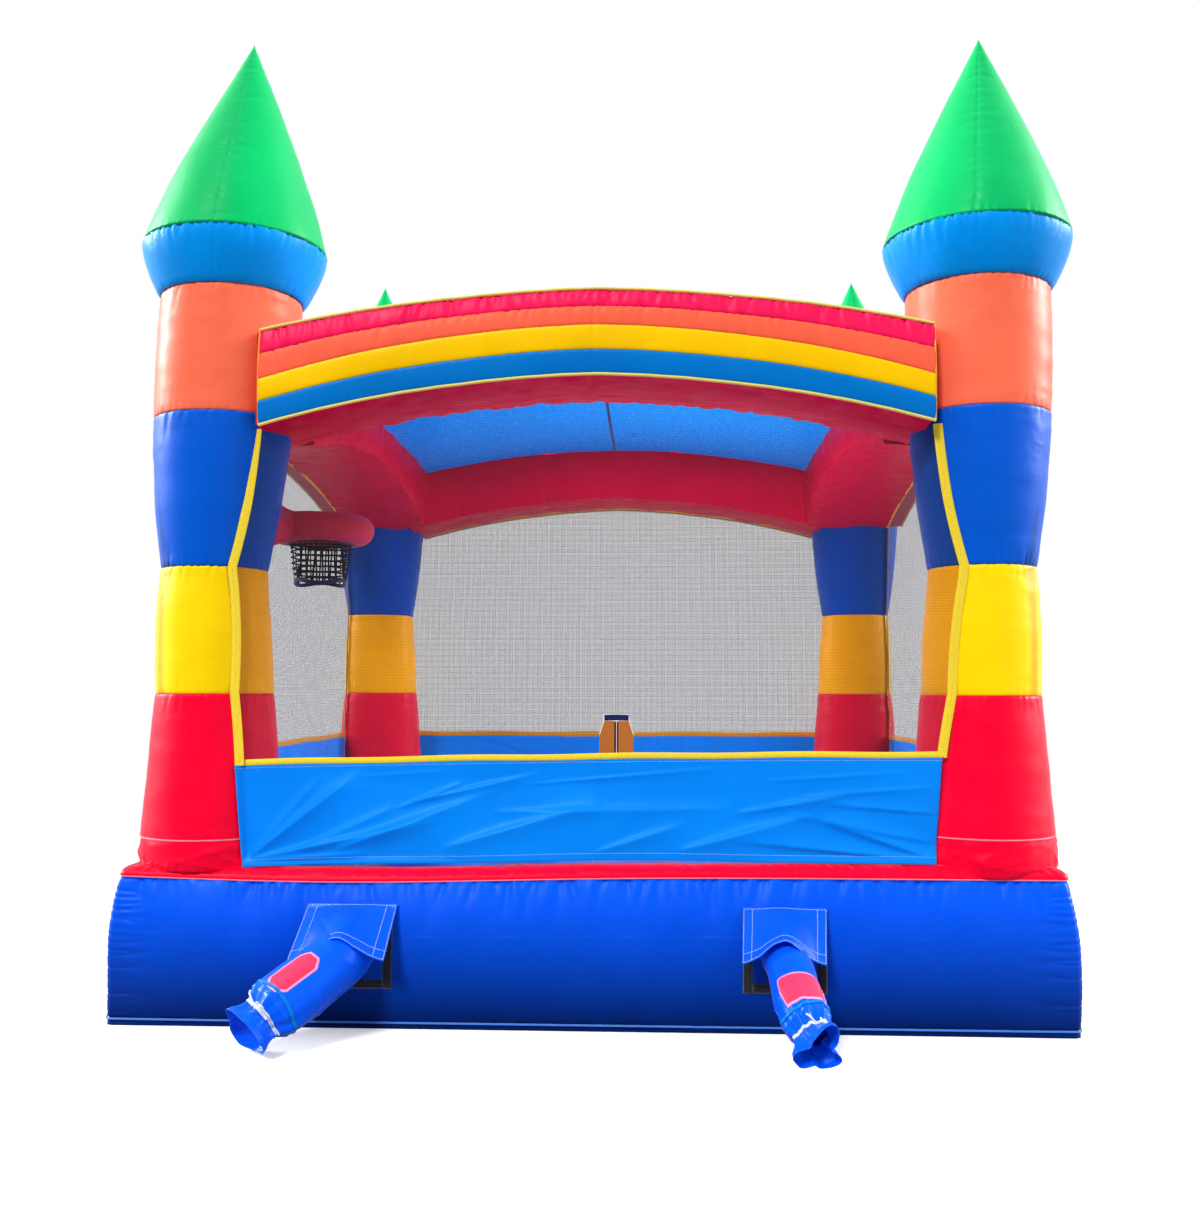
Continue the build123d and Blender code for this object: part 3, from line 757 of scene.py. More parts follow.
def spire_band(corner, seed, seam_turn):
    """The roomy blue band under a cone."""
    t = even_rows(0, 1, 40, 0.5)[:, None]
    heights = neck_z + (band_top_z - neck_z) * t
    rise = np.array([0, 0.10, 0.30, 0.50, 0.68, 0.82, 0.92, 1.0])
    swell = np.array([0, 0.16, 0.42, 0.65, 0.83, 0.94, 0.99, 1.0])
    radius = neck_r + (eaves_r - 0.008 - neck_r) * np.interp(t, rise, swell)
    radius = np.concatenate([radius[:1], (radius[:-2] + radius[1:-1] + radius[2:]) / 3, radius[-1:]])
    around = turns[None] * eaves_r
    girth = TAU * eaves_r
    radius = radius + pleats(around, band_top_z - heights, girth, 0.030, 0.0120, 0.036, seed)
    radius = radius + pleats(around, heights - neck_z, girth, 0.05, 0.004, 0.03, seed + 1)
    points = turned(corner, radius, turns[None], heights)
    radius = radius + 0.003 * noise(points, 0.12, seed) - 0.004 * near(heights - neck_z, 0.006)
    radius = radius - 0.0035 * hump(round_from(seam_turn, radius), 0.005)
    points = tucked(corner, radius, heights)
    piece = grid(f"{corner}_spire_band", points, "band_blue", round_columns=True)
    settle(piece, "root", "vinyl_band_blue", "spire_bands")


def spire_cone(corner, seed, seam_turn):
    """A green cone, sewn from three panels."""
    t = (np.linspace(0, 1, 96) ** 0.92)[:, None]
    tip_x, tip_z = TIPS.get(corner, (0, 0))
    tall = cone_high.z + tip_z - band_top_z
    pull = band_top_r / 2 + 0.026
    radius = (1 - t) ** 2 * band_top_r + 2 * t * (1 - t) * pull + 0.010 * np.sin(math.pi * t**0.6) ** 1.5
    heights = band_top_z + tall * t
    around = turns[None] * band_top_r
    draw = pleats(around, heights - band_top_z, TAU * band_top_r, 0.028, 0.0065, 0.022, seed + 2)
    points = turned(corner, radius + 0 * turns[None], turns[None], heights)
    size = np.clip(radius / 0.08, 0.05, 1)
    draw = draw + size * 0.0028 * noise(points, 0.14, seed + 3)
    for shift in (0.0, 2.1, 4.2):
        away = round_from(seam_turn + shift, radius)
        draw = draw - 0.0016 * size * hump(away, 0.006)
        draw = draw + size * pleats(heights, away, 4.0, 0.035, 0.0065, 0.045, seed + 4 + int(shift))
    points = turned(corner, np.maximum(radius + draw, 0.0015), turns[None], heights)
    tuck = turned(corner, (radius + draw)[:1] - 0.03, turns[None], heights[:1] + 0.002)
    points = lean(np.concatenate([tuck, points]), corner)
    points[..., 0] += tip_x * clamp((points[..., 2] - band_top_z) / tall)
    piece = grid(f"{corner}_cone", points, "green", round_columns=True)
    settle(piece, "root", "vinyl_green", f"{corner}_spire_cone")


for number, corner in enumerate(CORNERS):
    seam_turn = math.atan2(-1, 0.10 if CORNERS[corner][0] < 0 else -0.25)
    spire_band(corner, 400 + 10 * number, seam_turn)
    spire_cone(corner, 400 + 10 * number, seam_turn)

# ------------------------------------------------------------------ base, ledge, floor and baffles

base_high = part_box("base_chamber")[1]
base_top = base_high.z
base_points = cad("base_chamber")
LOW_HALF = float(np.abs(base_points[base_points[:, 2] < 0.001, 0]).max())
HIGH_HALF = float(np.abs(base_points[base_points[:, 2] > base_top - 0.0005, 0]).max())
SWELL = base_high.x - (LOW_HALF + HIGH_HALF) / 2
SEAM_Z = 0.027
CORNER_SWELL = 0.006
CORNER_R = 0.035


def base_outward(along, z):
    """How far out the base's side stands: swollen in the middle, held in at its corners and seams."""
    share = clamp(np.asarray(z, float) / base_top)
    reach = clamp(np.abs(along) / HIGH_HALF)
    half = LOW_HALF + (HIGH_HALF - LOW_HALF) * share ** (1 + 4.5 * reach**8)
    half = half + 0.004 * reach**10 * (1 - share) ** 1.5
    bow = np.sin(math.pi * share) ** 0.8
    return half + bow * (CORNER_SWELL + (SWELL - CORNER_SWELL) * (1 - reach**6))


def loop_round(count):
    """One lap round a square with small round corners: for each point, its side's name, its place along that
    side as a share, and how far round the corner's bend it is."""
    lap = []
    for side in SIDES:
        for step in range(count):
            lap.append((side, -1 + 2 * (step + 0.5) / count, 0.0))
        for step in range(5):
            lap.append((side, 1.0, (step + 0.5) / 5))
    return lap


def lap_points(lap, half, outward, z, bend_r):
    """Places of a lap's points: half is the square's half width, outward a function of (along, z)."""
    places = []
    for side, share, bend in lap:
        straight = half - bend_r
        if bend == 0:
            spot = share * straight
            places.append(at(side, spot, outward(spot, z), z))
        else:
            edge = float(outward(straight, z))
            out = edge - bend_r + bend_r * math.cos(bend * math.pi / 2)
            spot = edge - bend_r + bend_r * math.sin(bend * math.pi / 2)
            places.append(at(side, spot, out, z))
    return np.array(places)


def leaned_left(points):
    """The base stands out a little more on its left, and its top sinks there, as in the photograph."""
    moved = np.array(points, float)
    forward = clamp((-moved[..., 1] - 0.9) / 0.9)
    raised = clamp(moved[..., 2] / base_top) ** 2
    moved[..., 2] -= 0.031 * hump(moved[..., 0] + 1.05, 0.95) * forward * raised
    moved[..., 0] *= np.where(moved[..., 0] < 0, 1.011, 1.0)
    return moved


lap = loop_round(330)
lap_along = np.array([share * HIGH_HALF for _, share, _ in lap])
lap_run = np.arange(len(lap)) * 8 * HIGH_HALF / len(lap)
FOOT_ROWS = [0.0, 0.006, 0.014, 0.022, 0.025, SEAM_Z, 0.030, 0.036]
HEAD_ROWS = [0.57, 0.583, 0.593, 0.600, 0.604, base_top - 0.001]
heights = np.concatenate([FOOT_ROWS, np.linspace(0.05, 0.555, 105), HEAD_ROWS])
rows = [lap_points(lap, HIGH_HALF, base_outward, z, CORNER_R) for z in heights]
points = np.array(rows)
outs = normals_of(points, round_columns=True)
outs *= np.sign((outs * points).sum(-1, keepdims=True))
level = heights[:, None]
draw = pleats(lap_run[None], base_top - level, 8 * HIGH_HALF, 0.050, 0.022, 0.070, 71)
draw = draw + pleats(lap_run[None], base_top - level, 8 * HIGH_HALF, 0.19, 0.010, 0.20, 72)
draw = draw + pleats(lap_run[None], np.abs(level - SEAM_Z), 8 * HIGH_HALF, 0.11, 0.006, 0.05, 73)
corner_away = HIGH_HALF - np.abs(lap_along)[None]
tucks = pleats(level + 0 * corner_away, corner_away + 0 * level, 4.0, 0.025, 0.013, 0.045, 74)
draw = draw + tucks * np.clip(corner_away / 0.016, 0.22, 1)
draw = draw + 0.0045 * noise(points, 0.30, 75) + 0.0025 * noise(points * [1, 1, 0.5], 0.09, 76)
draw = draw - 0.005 * hump(level - SEAM_Z, 0.004) - 0.006 * near(base_top - level, 0.006)
draw = draw * np.clip(level / 0.012, 0.1, 1) * np.clip((base_top - level) / 0.010, 0.3, 1)
points = points + outs * draw[..., None]
points[..., 2] = np.maximum(points[..., 2], 0.0005)
tuck = points[-1:] * [0.985, 0.985, 1] + [0, 0, 0.001]
inward = points[:1] * [0.90, 0.90, 1] + [0, 0, 0.0015]
points = leaned_left(np.concatenate([inward, points, tuck]))
piece = grid("base_body", points, "base_blue", round_columns=True)
settle(piece, "root", "vinyl_base_blue", "base_chamber")

xs = np.linspace(-1.80, 1.80, 73)
under = xyz(*np.meshgrid(xs, xs), 0.0)
under[..., 2] = 0.0035 + 0.002 * noise(under, 0.3, 80)
settle(grid("base_underside", under, "base_blue", thick=0.0015), "root", "vinyl_base_blue")

for name, level, look, outline in (
    ("base_foot_seam", SEAM_Z, "seam_light", tape_outline(-0.004, 0.004, 0.0025)),
    ("base_top_piping", base_top - 0.001, "seam_rose", round_outline(0.0028)),
):
    line = lap_points(lap, HIGH_HALF, base_outward, level, CORNER_R)
    normal = np.array([out_of(side) for side, _, _ in lap])
    lifted = leaned_left(line + normal * 0.001)
    settle(sweep(name, lifted, normal, outline, look, closed=True), "root", "vinyl_base_blue")

ledge_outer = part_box("base_ledge")[1].x
profile = np.array(
    [(0.0, -0.003), (0.004, 0.006), (-0.002, 0.022), (-0.016, 0.038), (-0.042, 0.048), (-0.078, 0.050),
     (-0.115, 0.047), (-0.140, 0.034), (-0.155, 0.012), (-0.160, -0.004)]
)
spots = np.linspace(0, len(profile) - 1, 30)
profile = np.stack([np.interp(spots, range(len(profile)), profile[:, i]) for i in (0, 1)], -1)
rows = []
for inset, rise in profile:
    half = ledge_outer + inset
    rows.append(lap_points(lap, half, lambda a, z, h=half: h + 0 * a, base_top + rise, CORNER_R))
points = np.array(rows)
lap_away = -profile[:, 0][:, None]
draw = pleats(lap_run[None], lap_away, 8 * HIGH_HALF, 0.036, 0.024, 0.026, 91)
draw = draw + 0.004 * noise(points, 0.10, 92) + 0.003 * noise(points, 0.35, 93)
points[..., 2] += draw * clamp(lap_away / 0.012)
piece = grid("top_ledge", leaned_left(points), "red", round_columns=True, flip=True)
settle(piece, "root", "vinyl_red", "base_ledge")

floor_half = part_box("jump_floor")[1].x
floor_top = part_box("jump_floor")[1].z
baffles = cad("floor_baffles")
BAFFLE_X = sorted({round(float(v), 1) for v in baffles[:, 0]})
side_run = np.linspace(-floor_half, floor_half, 211)
flat = np.stack(np.meshgrid(side_run, side_run), -1)
nearest = np.min(np.abs(flat[..., 0][..., None] - np.array(BAFFLE_X)), -1)
edge_in = floor_half - np.abs(flat).max(-1)
crown = 0.026 * np.sqrt(clamp(nearest / 0.25)) * clamp(edge_in / 0.10) ** 0.5
points = np.dstack([flat, floor_top - 0.001 + crown])
pulled = pleats(flat[..., 1] + 5 * np.round(flat[..., 0] * 2), nearest, 31.0, 0.06, 0.005, 0.06, 95)
points[..., 2] += pulled * clamp(edge_in / 0.05) + 0.002 * noise(points, 0.15, 96)
piece = grid("bouncing_floor", points, "floor_blue", thick=0.002)
settle(piece, "root", "vinyl_floor_blue", "jump_floor")
for number, seam_x in enumerate(BAFFLE_X):
    along = np.linspace(-floor_half + 0.03, floor_half - 0.03, 90)
    line = np.stack([seam_x + 0 * along, along, floor_top + 0.001 + 0 * along], -1)
    piece = sweep(f"floor_seam_{number}", line, (0, 0, 1), tape_outline(-0.010, 0.010, 0.002), "stripe_blue")
    settle(piece, "root", "vinyl_floor_blue")


def holed_panel(half_width, half_height, radius, rings=5, around=48):
    """A rectangle with a round hole at its middle, as flat points and faces."""
    turn = (np.arange(around) + 0.5) * TAU / around
    ray = np.stack([np.cos(turn), np.sin(turn)], -1)
    reach = 1 / np.maximum(np.abs(ray[:, 0]) / half_width, np.abs(ray[:, 1]) / half_height)
    edge = ray * reach[:, None]
    for corner in itertools.product((-half_width, half_width), (-half_height, half_height)):
        edge[np.argmin(np.hypot(*(edge - corner).T))] = corner
    share = np.linspace(0, 1, rings + 1)[:, None, None]
    points = ray[None] * radius * (1 - share) + edge[None] * share
    return points, grid_faces(rings + 1, around, round_columns=True)


low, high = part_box("floor_baffles")
cell_half = 0.45
for number, seam_x in enumerate(BAFFLE_X):
    points, faces = [], []
    for cell in range(4):
        flat, cells = holed_panel(cell_half, (high.z - low.z) / 2, 0.120)
        start = len(points)
        flat = flat.reshape(-1, 2)
        points += [(seam_x, (cell - 1.5) * 2 * cell_half + u, (low.z + high.z) / 2 + v) for u, v in flat]
        faces += [tuple(start + k for k in face) for face in cells]
    points = np.array(points)
    points[:, 0] += 0.006 * noise(points, 0.3, 120 + number)
    piece = thickened(new_piece(f"floor_baffle_{number}", points, faces, "inner_white"), 0.0015)
    settle(piece, "root", "vinyl_inner_white", "floor_baffles")
    area = 4 * (2 * cell_half * (high.z - low.z) - math.pi * 0.120**2)

# ------------------------------------------------------------------ arch beams, stripes, roof


def arc_height(along, end, mid, half):
    """Height of an arc through (half, end) and (0, mid)."""
    rise = mid - end
    radius = (half**2 + rise**2) / (2 * rise)
    return mid - radius + np.sqrt(np.maximum(radius**2 - np.asarray(along) ** 2, 0))


ARCH_FACE = -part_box("front_arch_beam")[0].y
ARCH_HALF = 1.398
# Each beam's face: lower edge at its ends and middle, upper edge likewise, and how far out its inner side is
LONG_BEAM, SIDE_BEAM = (2.460, 2.655, 2.858, 3.010, 1.410), (2.470, 2.660, 2.860, 3.010, 1.300)
BEAM = {"front": LONG_BEAM, "back": LONG_BEAM, "left": SIDE_BEAM, "right": SIDE_BEAM}
# Each stripe's top edge, as shares of the way up at the arch's ends and its middle, and how deep it puckers
STRIPES = (
    ("blue", 0.24, 0.28, 0.0025), ("gold", 0.47, 0.565, 0.0020),
    ("coral", 0.745, 0.79, 0.0075), ("pink", 1.0, 1.0, 0.0150),
)


def peak(along):
    """The slight point at the middle of each arch, where its two halves are sewn together."""
    return 0.010 * clamp(1 - np.abs(along) / 0.55)


def arcs_of(side, along, share_end, share_mid):
    """A line across an arch's face: shares of the way up from its lower edge, at its ends and its middle."""
    low_end, low_mid, high_end, high_mid, _ = BEAM[side]
    end = low_end + share_end * (high_end - low_end)
    mid = low_mid + share_mid * (high_mid - low_mid)
    return arc_height(along, end, mid, ARCH_HALF) + peak(along)


# Once round a beam's section: face up, top inward, inner side down, underside outward
SECTION_COUNTS = {"face": 12, "top": 22, "inner": 16, "under": 24}
SECTION = [(edge, step / count) for edge, count in SECTION_COUNTS.items() for step in range(count)]


def section_place(edge, t, low_arc, high_arc, inner):
    """A place round a beam's section: how far out, height, direction out of the cloth, distance to a seam."""
    depth = ARCH_FACE - inner
    rise = high_arc - low_arc
    bulge = math.sin(math.pi * t) ** 0.75 if 0 < t < 1 else 0.0
    to_seam = min(t, 1 - t)
    return {
        "face": (ARCH_FACE - 0.004, low_arc + t * rise, (1, 0), 0.2),
        "top": (ARCH_FACE - t * depth, high_arc + 0.035 * bulge, (0, 1), to_seam * depth),
        "inner": (inner - 0.030 * bulge, high_arc - t * rise, (-1, 0), to_seam * 0.38),
        "under": (inner + t * depth, low_arc - 0.012 * bulge, (0, -1), to_seam * depth),
    }[edge]


def beam_body(side, seed):
    """The inflated beam, puckered along its four seams."""
    along = np.linspace(-ARCH_HALF, ARCH_HALF, 221)
    low_arc, high_arc = arcs_of(side, along, 0, 0), arcs_of(side, along, 1, 1)
    points = np.zeros((len(along), len(SECTION), 3))
    seam_away = np.zeros((len(along), len(SECTION)))
    out = np.zeros((len(along), len(SECTION), 2))
    for column, (edge, t) in enumerate(SECTION):
        o, z, out[:, column], seam_away[:, column] = section_place(edge, t, low_arc, high_arc, BEAM[side][4])
        points[:, column] = at(side, along, o, z)
    run = along[:, None] + 0 * seam_away
    draw = pleats(run + 1.4, seam_away, 9.0, 0.075, 0.010, 0.07, seed)
    draw = draw + pleats(run + 1.4, seam_away, 9.0, 0.20, 0.009, 0.12, seed + 1)
    draw = draw + 0.004 * noise(points, 0.16, seed + 2) + 0.003 * noise(points, 0.07, seed + 3)
    draw = draw - 0.006 * hump(run, 0.006)
    if side in ("left", "right"):
        draw = draw + 0.007 * creased(points, 0.22, seed + 4, 7)
    draw = draw * (seam_away < 0.199)
    points = points + at(side, 0, draw * out[..., 0], draw * out[..., 1])
    faces = grid_faces(*points.shape[:2], round_columns=True, capped=True)
    piece = new_piece(f"{side}_beam", points, faces, "beam_red_shaded", sharp=48)
    settle(piece, "root", "vinyl_red", f"{side}_arch_beam")


def facing(side, seed, shift):
    """The rainbow facing: one strip of cloth for each colour."""
    fine = np.linspace(-ARCH_HALF, ARCH_HALF, 281)
    t = np.concatenate([[0, 0.02, 0.06], np.linspace(0.12, 0.88, 14), [0.94, 0.98, 1]])[:, None]
    below = (0.0, 0.0)
    for colour, *above, deep in STRIPES:
        strip_low, strip_high = arcs_of(side, fine, *below)[None], arcs_of(side, fine, *above)[None]
        z = strip_low + t * (strip_high - strip_low)
        share = below[0] + t * (above[0] - below[0])
        o = ARCH_FACE + 0.001 + 0.020 * np.sin(math.pi * share) ** 0.7
        o = o + 0.0025 * np.sin(math.pi * t) ** 0.5 + 0 * z
        away_top, away_low = strip_high - z, z - strip_low
        o = o + pleats(fine[None] + 1.4, away_top, 9.0, 0.034, deep, 0.045, seed + 5 + len(colour))
        o = o + pleats(fine[None] + 1.4, away_low, 9.0, 0.080, deep * 0.6, 0.03, seed + 12)
        o = o - 0.003 * near(away_top, 0.004) - 0.003 * near(away_low, 0.004)
        o = o - 0.0035 * hump(fine[None], 0.006)
        o = o + 0.0022 * noise(at(side, fine[None] + shift, o, z), 0.12, seed + 13)
        points = at(side, fine[None] + shift, o, z)
        look = "stripe_blue" if colour == "blue" else colour
        piece = grid(f"{side}_stripe_{colour}", points, look, thick=0.0015)
        settle(piece, "root", f"vinyl_stripe_{colour}", f"arch_stripes_{colour}")
        below = above


def arch_piping(side, shift):
    """Pale piping along the facing's long edges and gold piping up its ends."""
    along = np.linspace(-ARCH_HALF, ARCH_HALF, 221)
    for edge, share, lift in (("top", 1, 0.003), ("lower", 0, -0.002)):
        out = ARCH_FACE + 0.002 + 0.0012 * np.sin(along * 37)
        line = at(side, along + shift, out, arcs_of(side, along, share, share) + lift)
        piece = sweep(f"{side}_arch_piping_{edge}", line, out_of(side), round_outline(0.0065), "piping_pale")
        settle(piece, "root", "vinyl_stripe_gold")
    for hand in HANDS:
        low_end, _, high_end, _, _ = BEAM[side]
        z = np.linspace(low_end, high_end, 24)
        out = ARCH_FACE + 0.002 + 0.016 * np.sin(math.pi * (z - low_end) / (high_end - low_end))
        line = at(side, hand * ARCH_HALF + shift, out, z)
        name = f"{side}_arch_end_piping_{HANDS[hand]}"
        piece = sweep(name, line, out_of(side), round_outline(0.0038), "piping_gold")
        settle(piece, "root", "vinyl_stripe_gold")


for number, side in enumerate(SIDES):
    shift = 0.012 if side == "front" else 0.0
    beam_body(side, 500 + 20 * number)
    facing(side, 500 + 20 * number, shift)
    arch_piping(side, shift)

roof_low, roof_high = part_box("roof_sheet")
across = np.linspace(roof_low.x, roof_high.x, 61)
deepwise = np.linspace(roof_low.y, roof_high.y, 61)
crown = arc_height(across, roof_low.z + 0.002, roof_high.z - 0.002, roof_high.x)
points = np.stack(np.meshgrid(across, deepwise), -1)
points = np.dstack([points, np.broadcast_to(crown, points.shape[:2])])
sag = 0.020 * (1 - (points[..., 1] / roof_high.y) ** 2) * clamp((roof_high.x - np.abs(points[..., 0])) / 0.3)
points[..., 2] -= sag + 0.004 * noise(points, 0.25, 610)
roof = settle(grid("roof_mesh_sheet", points, "roof_mesh"), "root", "vinyl_roof_blue", "roof_sheet")
line = points[:, len(across) // 2] - [0, 0, 0.003]
roof_seam = sweep("roof_seam", line, (0, 0, 1), tape_outline(-0.008, 0.008, 0.006), "navy")
settle(roof_seam, "root", "webbing_navy")

# ------------------------------------------------------------------ nets, walls and their tapes

wall_low, wall_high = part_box("right_wall")
PANEL_OUT = (wall_low.x + wall_high.x) / 2
WALL_LOW_Z, WALL_TOP = wall_low.z, wall_high.z
sheet_low, sheet_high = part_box("front_sheet")


def column_edge(z, gap=0.003):
    """How far along a wall, from its middle, the column's surface is at a height."""
    reach = column_radius(z) + gap
    centre = COLUMN_AT - np.interp(z, *INSET)
    return centre - np.sqrt(np.maximum(reach**2 - (PANEL_OUT - centre) ** 2, 0))


def column_face(along, z, gap):
    """How far out the column's surface stands at a place beside its edge."""
    centre = COLUMN_AT - np.interp(z, *INSET)
    within = (column_radius(z) + gap) ** 2 - (centre - np.abs(along)) ** 2
    return np.where(within > 0, centre + np.sqrt(np.maximum(within, 0)), 0)


def rim_height(side, along):
    """Height of the seam where a net meets the sheet or wall below it; the front one tips to the left."""
    share = np.asarray(along, float) / 1.45
    if side == "front":
        return sheet_high.z + 0.002 + 0.023 * share - 0.009 * share**2
    return WALL_TOP + 0.002 + 0 * share


# How far each front tape laps its column, going up
LAPS = {-1: (0.014, -0.008, 0.0), 1: (-0.018, 0.015, 0.016)}
# The notch over the back entrance: places along the net's foot and their heights
NOTCH_X = [-0.124, -0.0915, -0.0905, 0.0905, 0.0915, 0.124]
NOTCH_Z = [WALL_TOP, 1.150, 1.192, 1.192, 1.150, WALL_TOP]


def net_cloth(side, seed, edge_low):
    """The net itself: its foot on the wall, its head on the beam and its sides on the columns."""
    low_end, low_mid = BEAM[side][:2]
    base_line = np.linspace(-edge_low, edge_low, 97)
    if side == "back":
        outer = base_line[np.abs(base_line) > 0.13]
        base_line = np.sort(np.concatenate([outer, NOTCH_X, np.linspace(-0.08, 0.08, 5)]))
    t = np.linspace(0, 1, 75)[:, None]
    bottom = rim_height(side, base_line)
    reach = column_edge(bottom[None] + t * (low_end - bottom[None]))
    spread = base_line[None] / edge_low * reach
    inside = np.clip(np.abs(spread), 0, ARCH_HALF)
    top = arc_height(inside, low_end, low_mid, ARCH_HALF) + peak(spread) - 0.002
    start = bottom[None] + 0 * spread
    if side == "back":
        start = np.maximum(start, np.interp(base_line, NOTCH_X, NOTCH_Z)[None])
    z = start + t * (top - start)
    points = at(side, spread, PANEL_OUT - 0.002, z)
    edge_in = np.minimum(reach - np.abs(spread), np.minimum(z - start, top - z))
    wave = 0.010 * noise(points, 0.55, seed) + 0.004 * noise(points, 0.18, seed + 1)
    points = at(side, spread, PANEL_OUT - 0.002 + wave * clamp(edge_in / 0.12), z)
    net = grid(f"{side}_mesh_net", points, {"front": "net_front_shaded", "back": "net_x"}.get(side, "net_y"))
    settle(net, "root", "net_grey", f"{side}_net")
    flat = (float(2 * reach.max()), float(top.max() - start.min()))
    return net, flat, area_under(top[-1] - start[0], spread[-1]), points[-1]


def side_tape(side, hand, edge_low, wide, look):
    """The tape and its stitches up one edge of a net, lying on the column."""
    z = np.linspace(float(rim_height(side, hand * edge_low)) - 0.004, BEAM[side][0], 90)
    edge = column_edge(z)
    if side == "front":
        edge = edge + np.interp(z, [1.05, 1.80, 2.46], LAPS[hand])
    out = np.maximum(PANEL_OUT + 0.001, column_face(edge, z, 0.004))
    outline = tape_outline(*((-0.002, wide) if hand < 0 else (-wide, 0.002)), 0.0035) * [-1, 1]
    line = at(side, hand * edge, out, z)
    tape = sweep(f"{side}_net_tape_{HANDS[hand]}", line, out_of(side), outline, look)
    settle(tape, "root", "vinyl_yellow")
    row = at(side, hand * (edge - wide / 2), out + 0.0038, z)
    row = stitches(f"{side}_net_stitch_{HANDS[hand]}", row, out_of(side), "piping_pale")
    return [tape, settle(row, "root", "vinyl_yellow")]


for number, side in enumerate(SIDES):
    edge_low = float(column_edge(rim_height(side, 0.0)))
    net, flat, area, head = net_cloth(side, 700 + 20 * number, edge_low)
    side_wide, low_wide, look = 0.022, 0.032, "piping_gold"
    if side == "front":
        side_wide, low_wide, look = 0.037, 0.026, "tape_yellow"
    tapes = side_tape(side, -1, edge_low, side_wide, look) + side_tape(side, 1, edge_low, side_wide, look)
    spans = [(-edge_low, edge_low)]
    if side == "front":
        spans = [(-edge_low - 0.014, edge_low - 0.012)]
    else:
        line = head - 0.004 * out_of(side)
        tape = sweep(f"{side}_net_head_tape", line, out_of(side), round_outline(0.008, 12), look)
        tapes.append(settle(tape, "root", "vinyl_yellow"))
    if side == "back":
        spans = [(-edge_low, -0.122), (0.122, edge_low)]
    for part, (first, last) in enumerate(spans):
        run = np.linspace(first, last, 120)
        level = rim_height(side, run) + low_wide / 2 - 0.004 + 0.002 * np.sin(run * 9)
        line = at(side, run, PANEL_OUT + 0.0005, level)
        outline = round_outline(low_wide / 2, 14, 0.34)
        tape = sweep(f"{side}_net_foot_tape_{part}", line, out_of(side), outline, look)
        tapes.append(settle(tape, "root", "vinyl_yellow"))


def folds(u, v, lines):
    """Cloth raised along lines, each from one point to another with a height and a width: sharp on one side,
    soft on the other, and dying out at its ends."""
    raised = 0 * (u + v)
    for u0, v0, u1, v1, high, wide in lines:
        long = math.hypot(u1 - u0, v1 - v0)
        along = ((u - u0) * (u1 - u0) + (v - v0) * (v1 - v0)) / long**2
        across = ((v - v0) * (u1 - u0) - (u - u0) * (v1 - v0)) / long
        width = wide * (0.35 + 0.65 * clamp(along)) * np.where(across > 0, 0.38, 1.0)
        ends = np.sin(math.pi * clamp(along)) ** 0.6
        raised = raised + high * ends * np.exp(-((np.abs(across) / width) ** 1.25))
    return raised


def random_folds(seed, first, last, low, high, count):
    """Shallow creases scattered over a stretched sheet, most of them nearly level."""
    random = np.random.default_rng(seed)
    lines = []
    for _ in range(count):
        u, v = random.uniform(first, last), random.uniform(low, high)
        long, tilt = random.uniform(0.25, 0.8), random.uniform(-0.45, 0.45)
        tall, wide = random.uniform(0.003, 0.008), random.uniform(0.015, 0.07)
        lines.append((u, v, u + long * math.cos(tilt), v + long * math.sin(tilt), tall, wide))
    return lines


def hanging_sheet(
    name, side, first, last, low_of, high_of, seed, billow, lines, over_columns=False, look="azure",
):
    """A wall of cloth between two edges: tension folds, slack waves and a hem. It stops at the columns, or
    laps over them."""
    rows = [np.linspace(0, 0.08, 7)[:-1], np.linspace(0.08, 0.94, 60), np.linspace(0.94, 1, 5)[1:]]
    t = np.concatenate(rows)[:, None]
    s = np.linspace(0, 1, 361)[None]
    spread = first + s * (last - first)
    low_z, high_z = low_of(spread), high_of(spread)
    z = low_z + t * (high_z - low_z)
    held = column_edge(z)
    if over_columns:
        pinned = spread * (1 - 0.0275 * (1 - t)) - 0.0205 + 0.003 * (1 - t)
    else:
        pinned = np.clip(spread, -held, held)
    wide = last - first
    flat = np.stack(np.broadcast_arrays(pinned, 0 * z + seed, z), -1)
    out = folds(pinned, z, lines)
    slanted = flat @ np.array([[0.55, 0, 0.55], [0, 1, 0], [-0.5, 0, 2.4]])
    out = out + 0.008 * noise(slanted, 0.45, seed) + 0.0015 * noise(flat, 0.10, seed + 2)
    free = clamp((high_z - z) / 0.10) * np.clip(np.minimum(s, 1 - s) * wide / 0.05, 0.3, 1)
    out = out * free + billow * np.sin(math.pi * clamp(s)) ** 0.5 * (1 - t) ** 1.3
    outward = PANEL_OUT + np.maximum(out, -0.010)
    if over_columns:
        outward = np.maximum(outward, column_face(pinned, z, 0.014) * (np.abs(pinned) > held - 0.05))
        lip = hump(z - low_z, 0.05)
        outward = np.maximum(outward, PANEL_OUT + 0.030 * lip)
    points = at(side, pinned, outward, z)
    return grid(name, points, look, thick=0.0018), points


def edge_stitch(name, points, row, look="thread", lift=0.0015):
    """Stitches along one row of a sheet's points."""
    normal = normals_of(points)[row]
    outward = np.sign((normal * points[row]).sum(-1, keepdims=True))
    return stitches(name, points[row] + normal * outward * lift, normal * outward, look)


def front_hem(spread):
    """The free hem hangs lowest at its left corner and is drawn up between the corners."""
    share = np.clip(spread / 1.45, -1, 1)
    wave = 0.004 * np.sin(4.2 * spread + 0.7) * (1 - share**4)
    arched = 0.016 * (1 - share**2) + 0.006 * (1 + share)
    return sheet_low.z - 0.010 + arched + wave - 0.021 * ((1 - share) / 2) ** 2


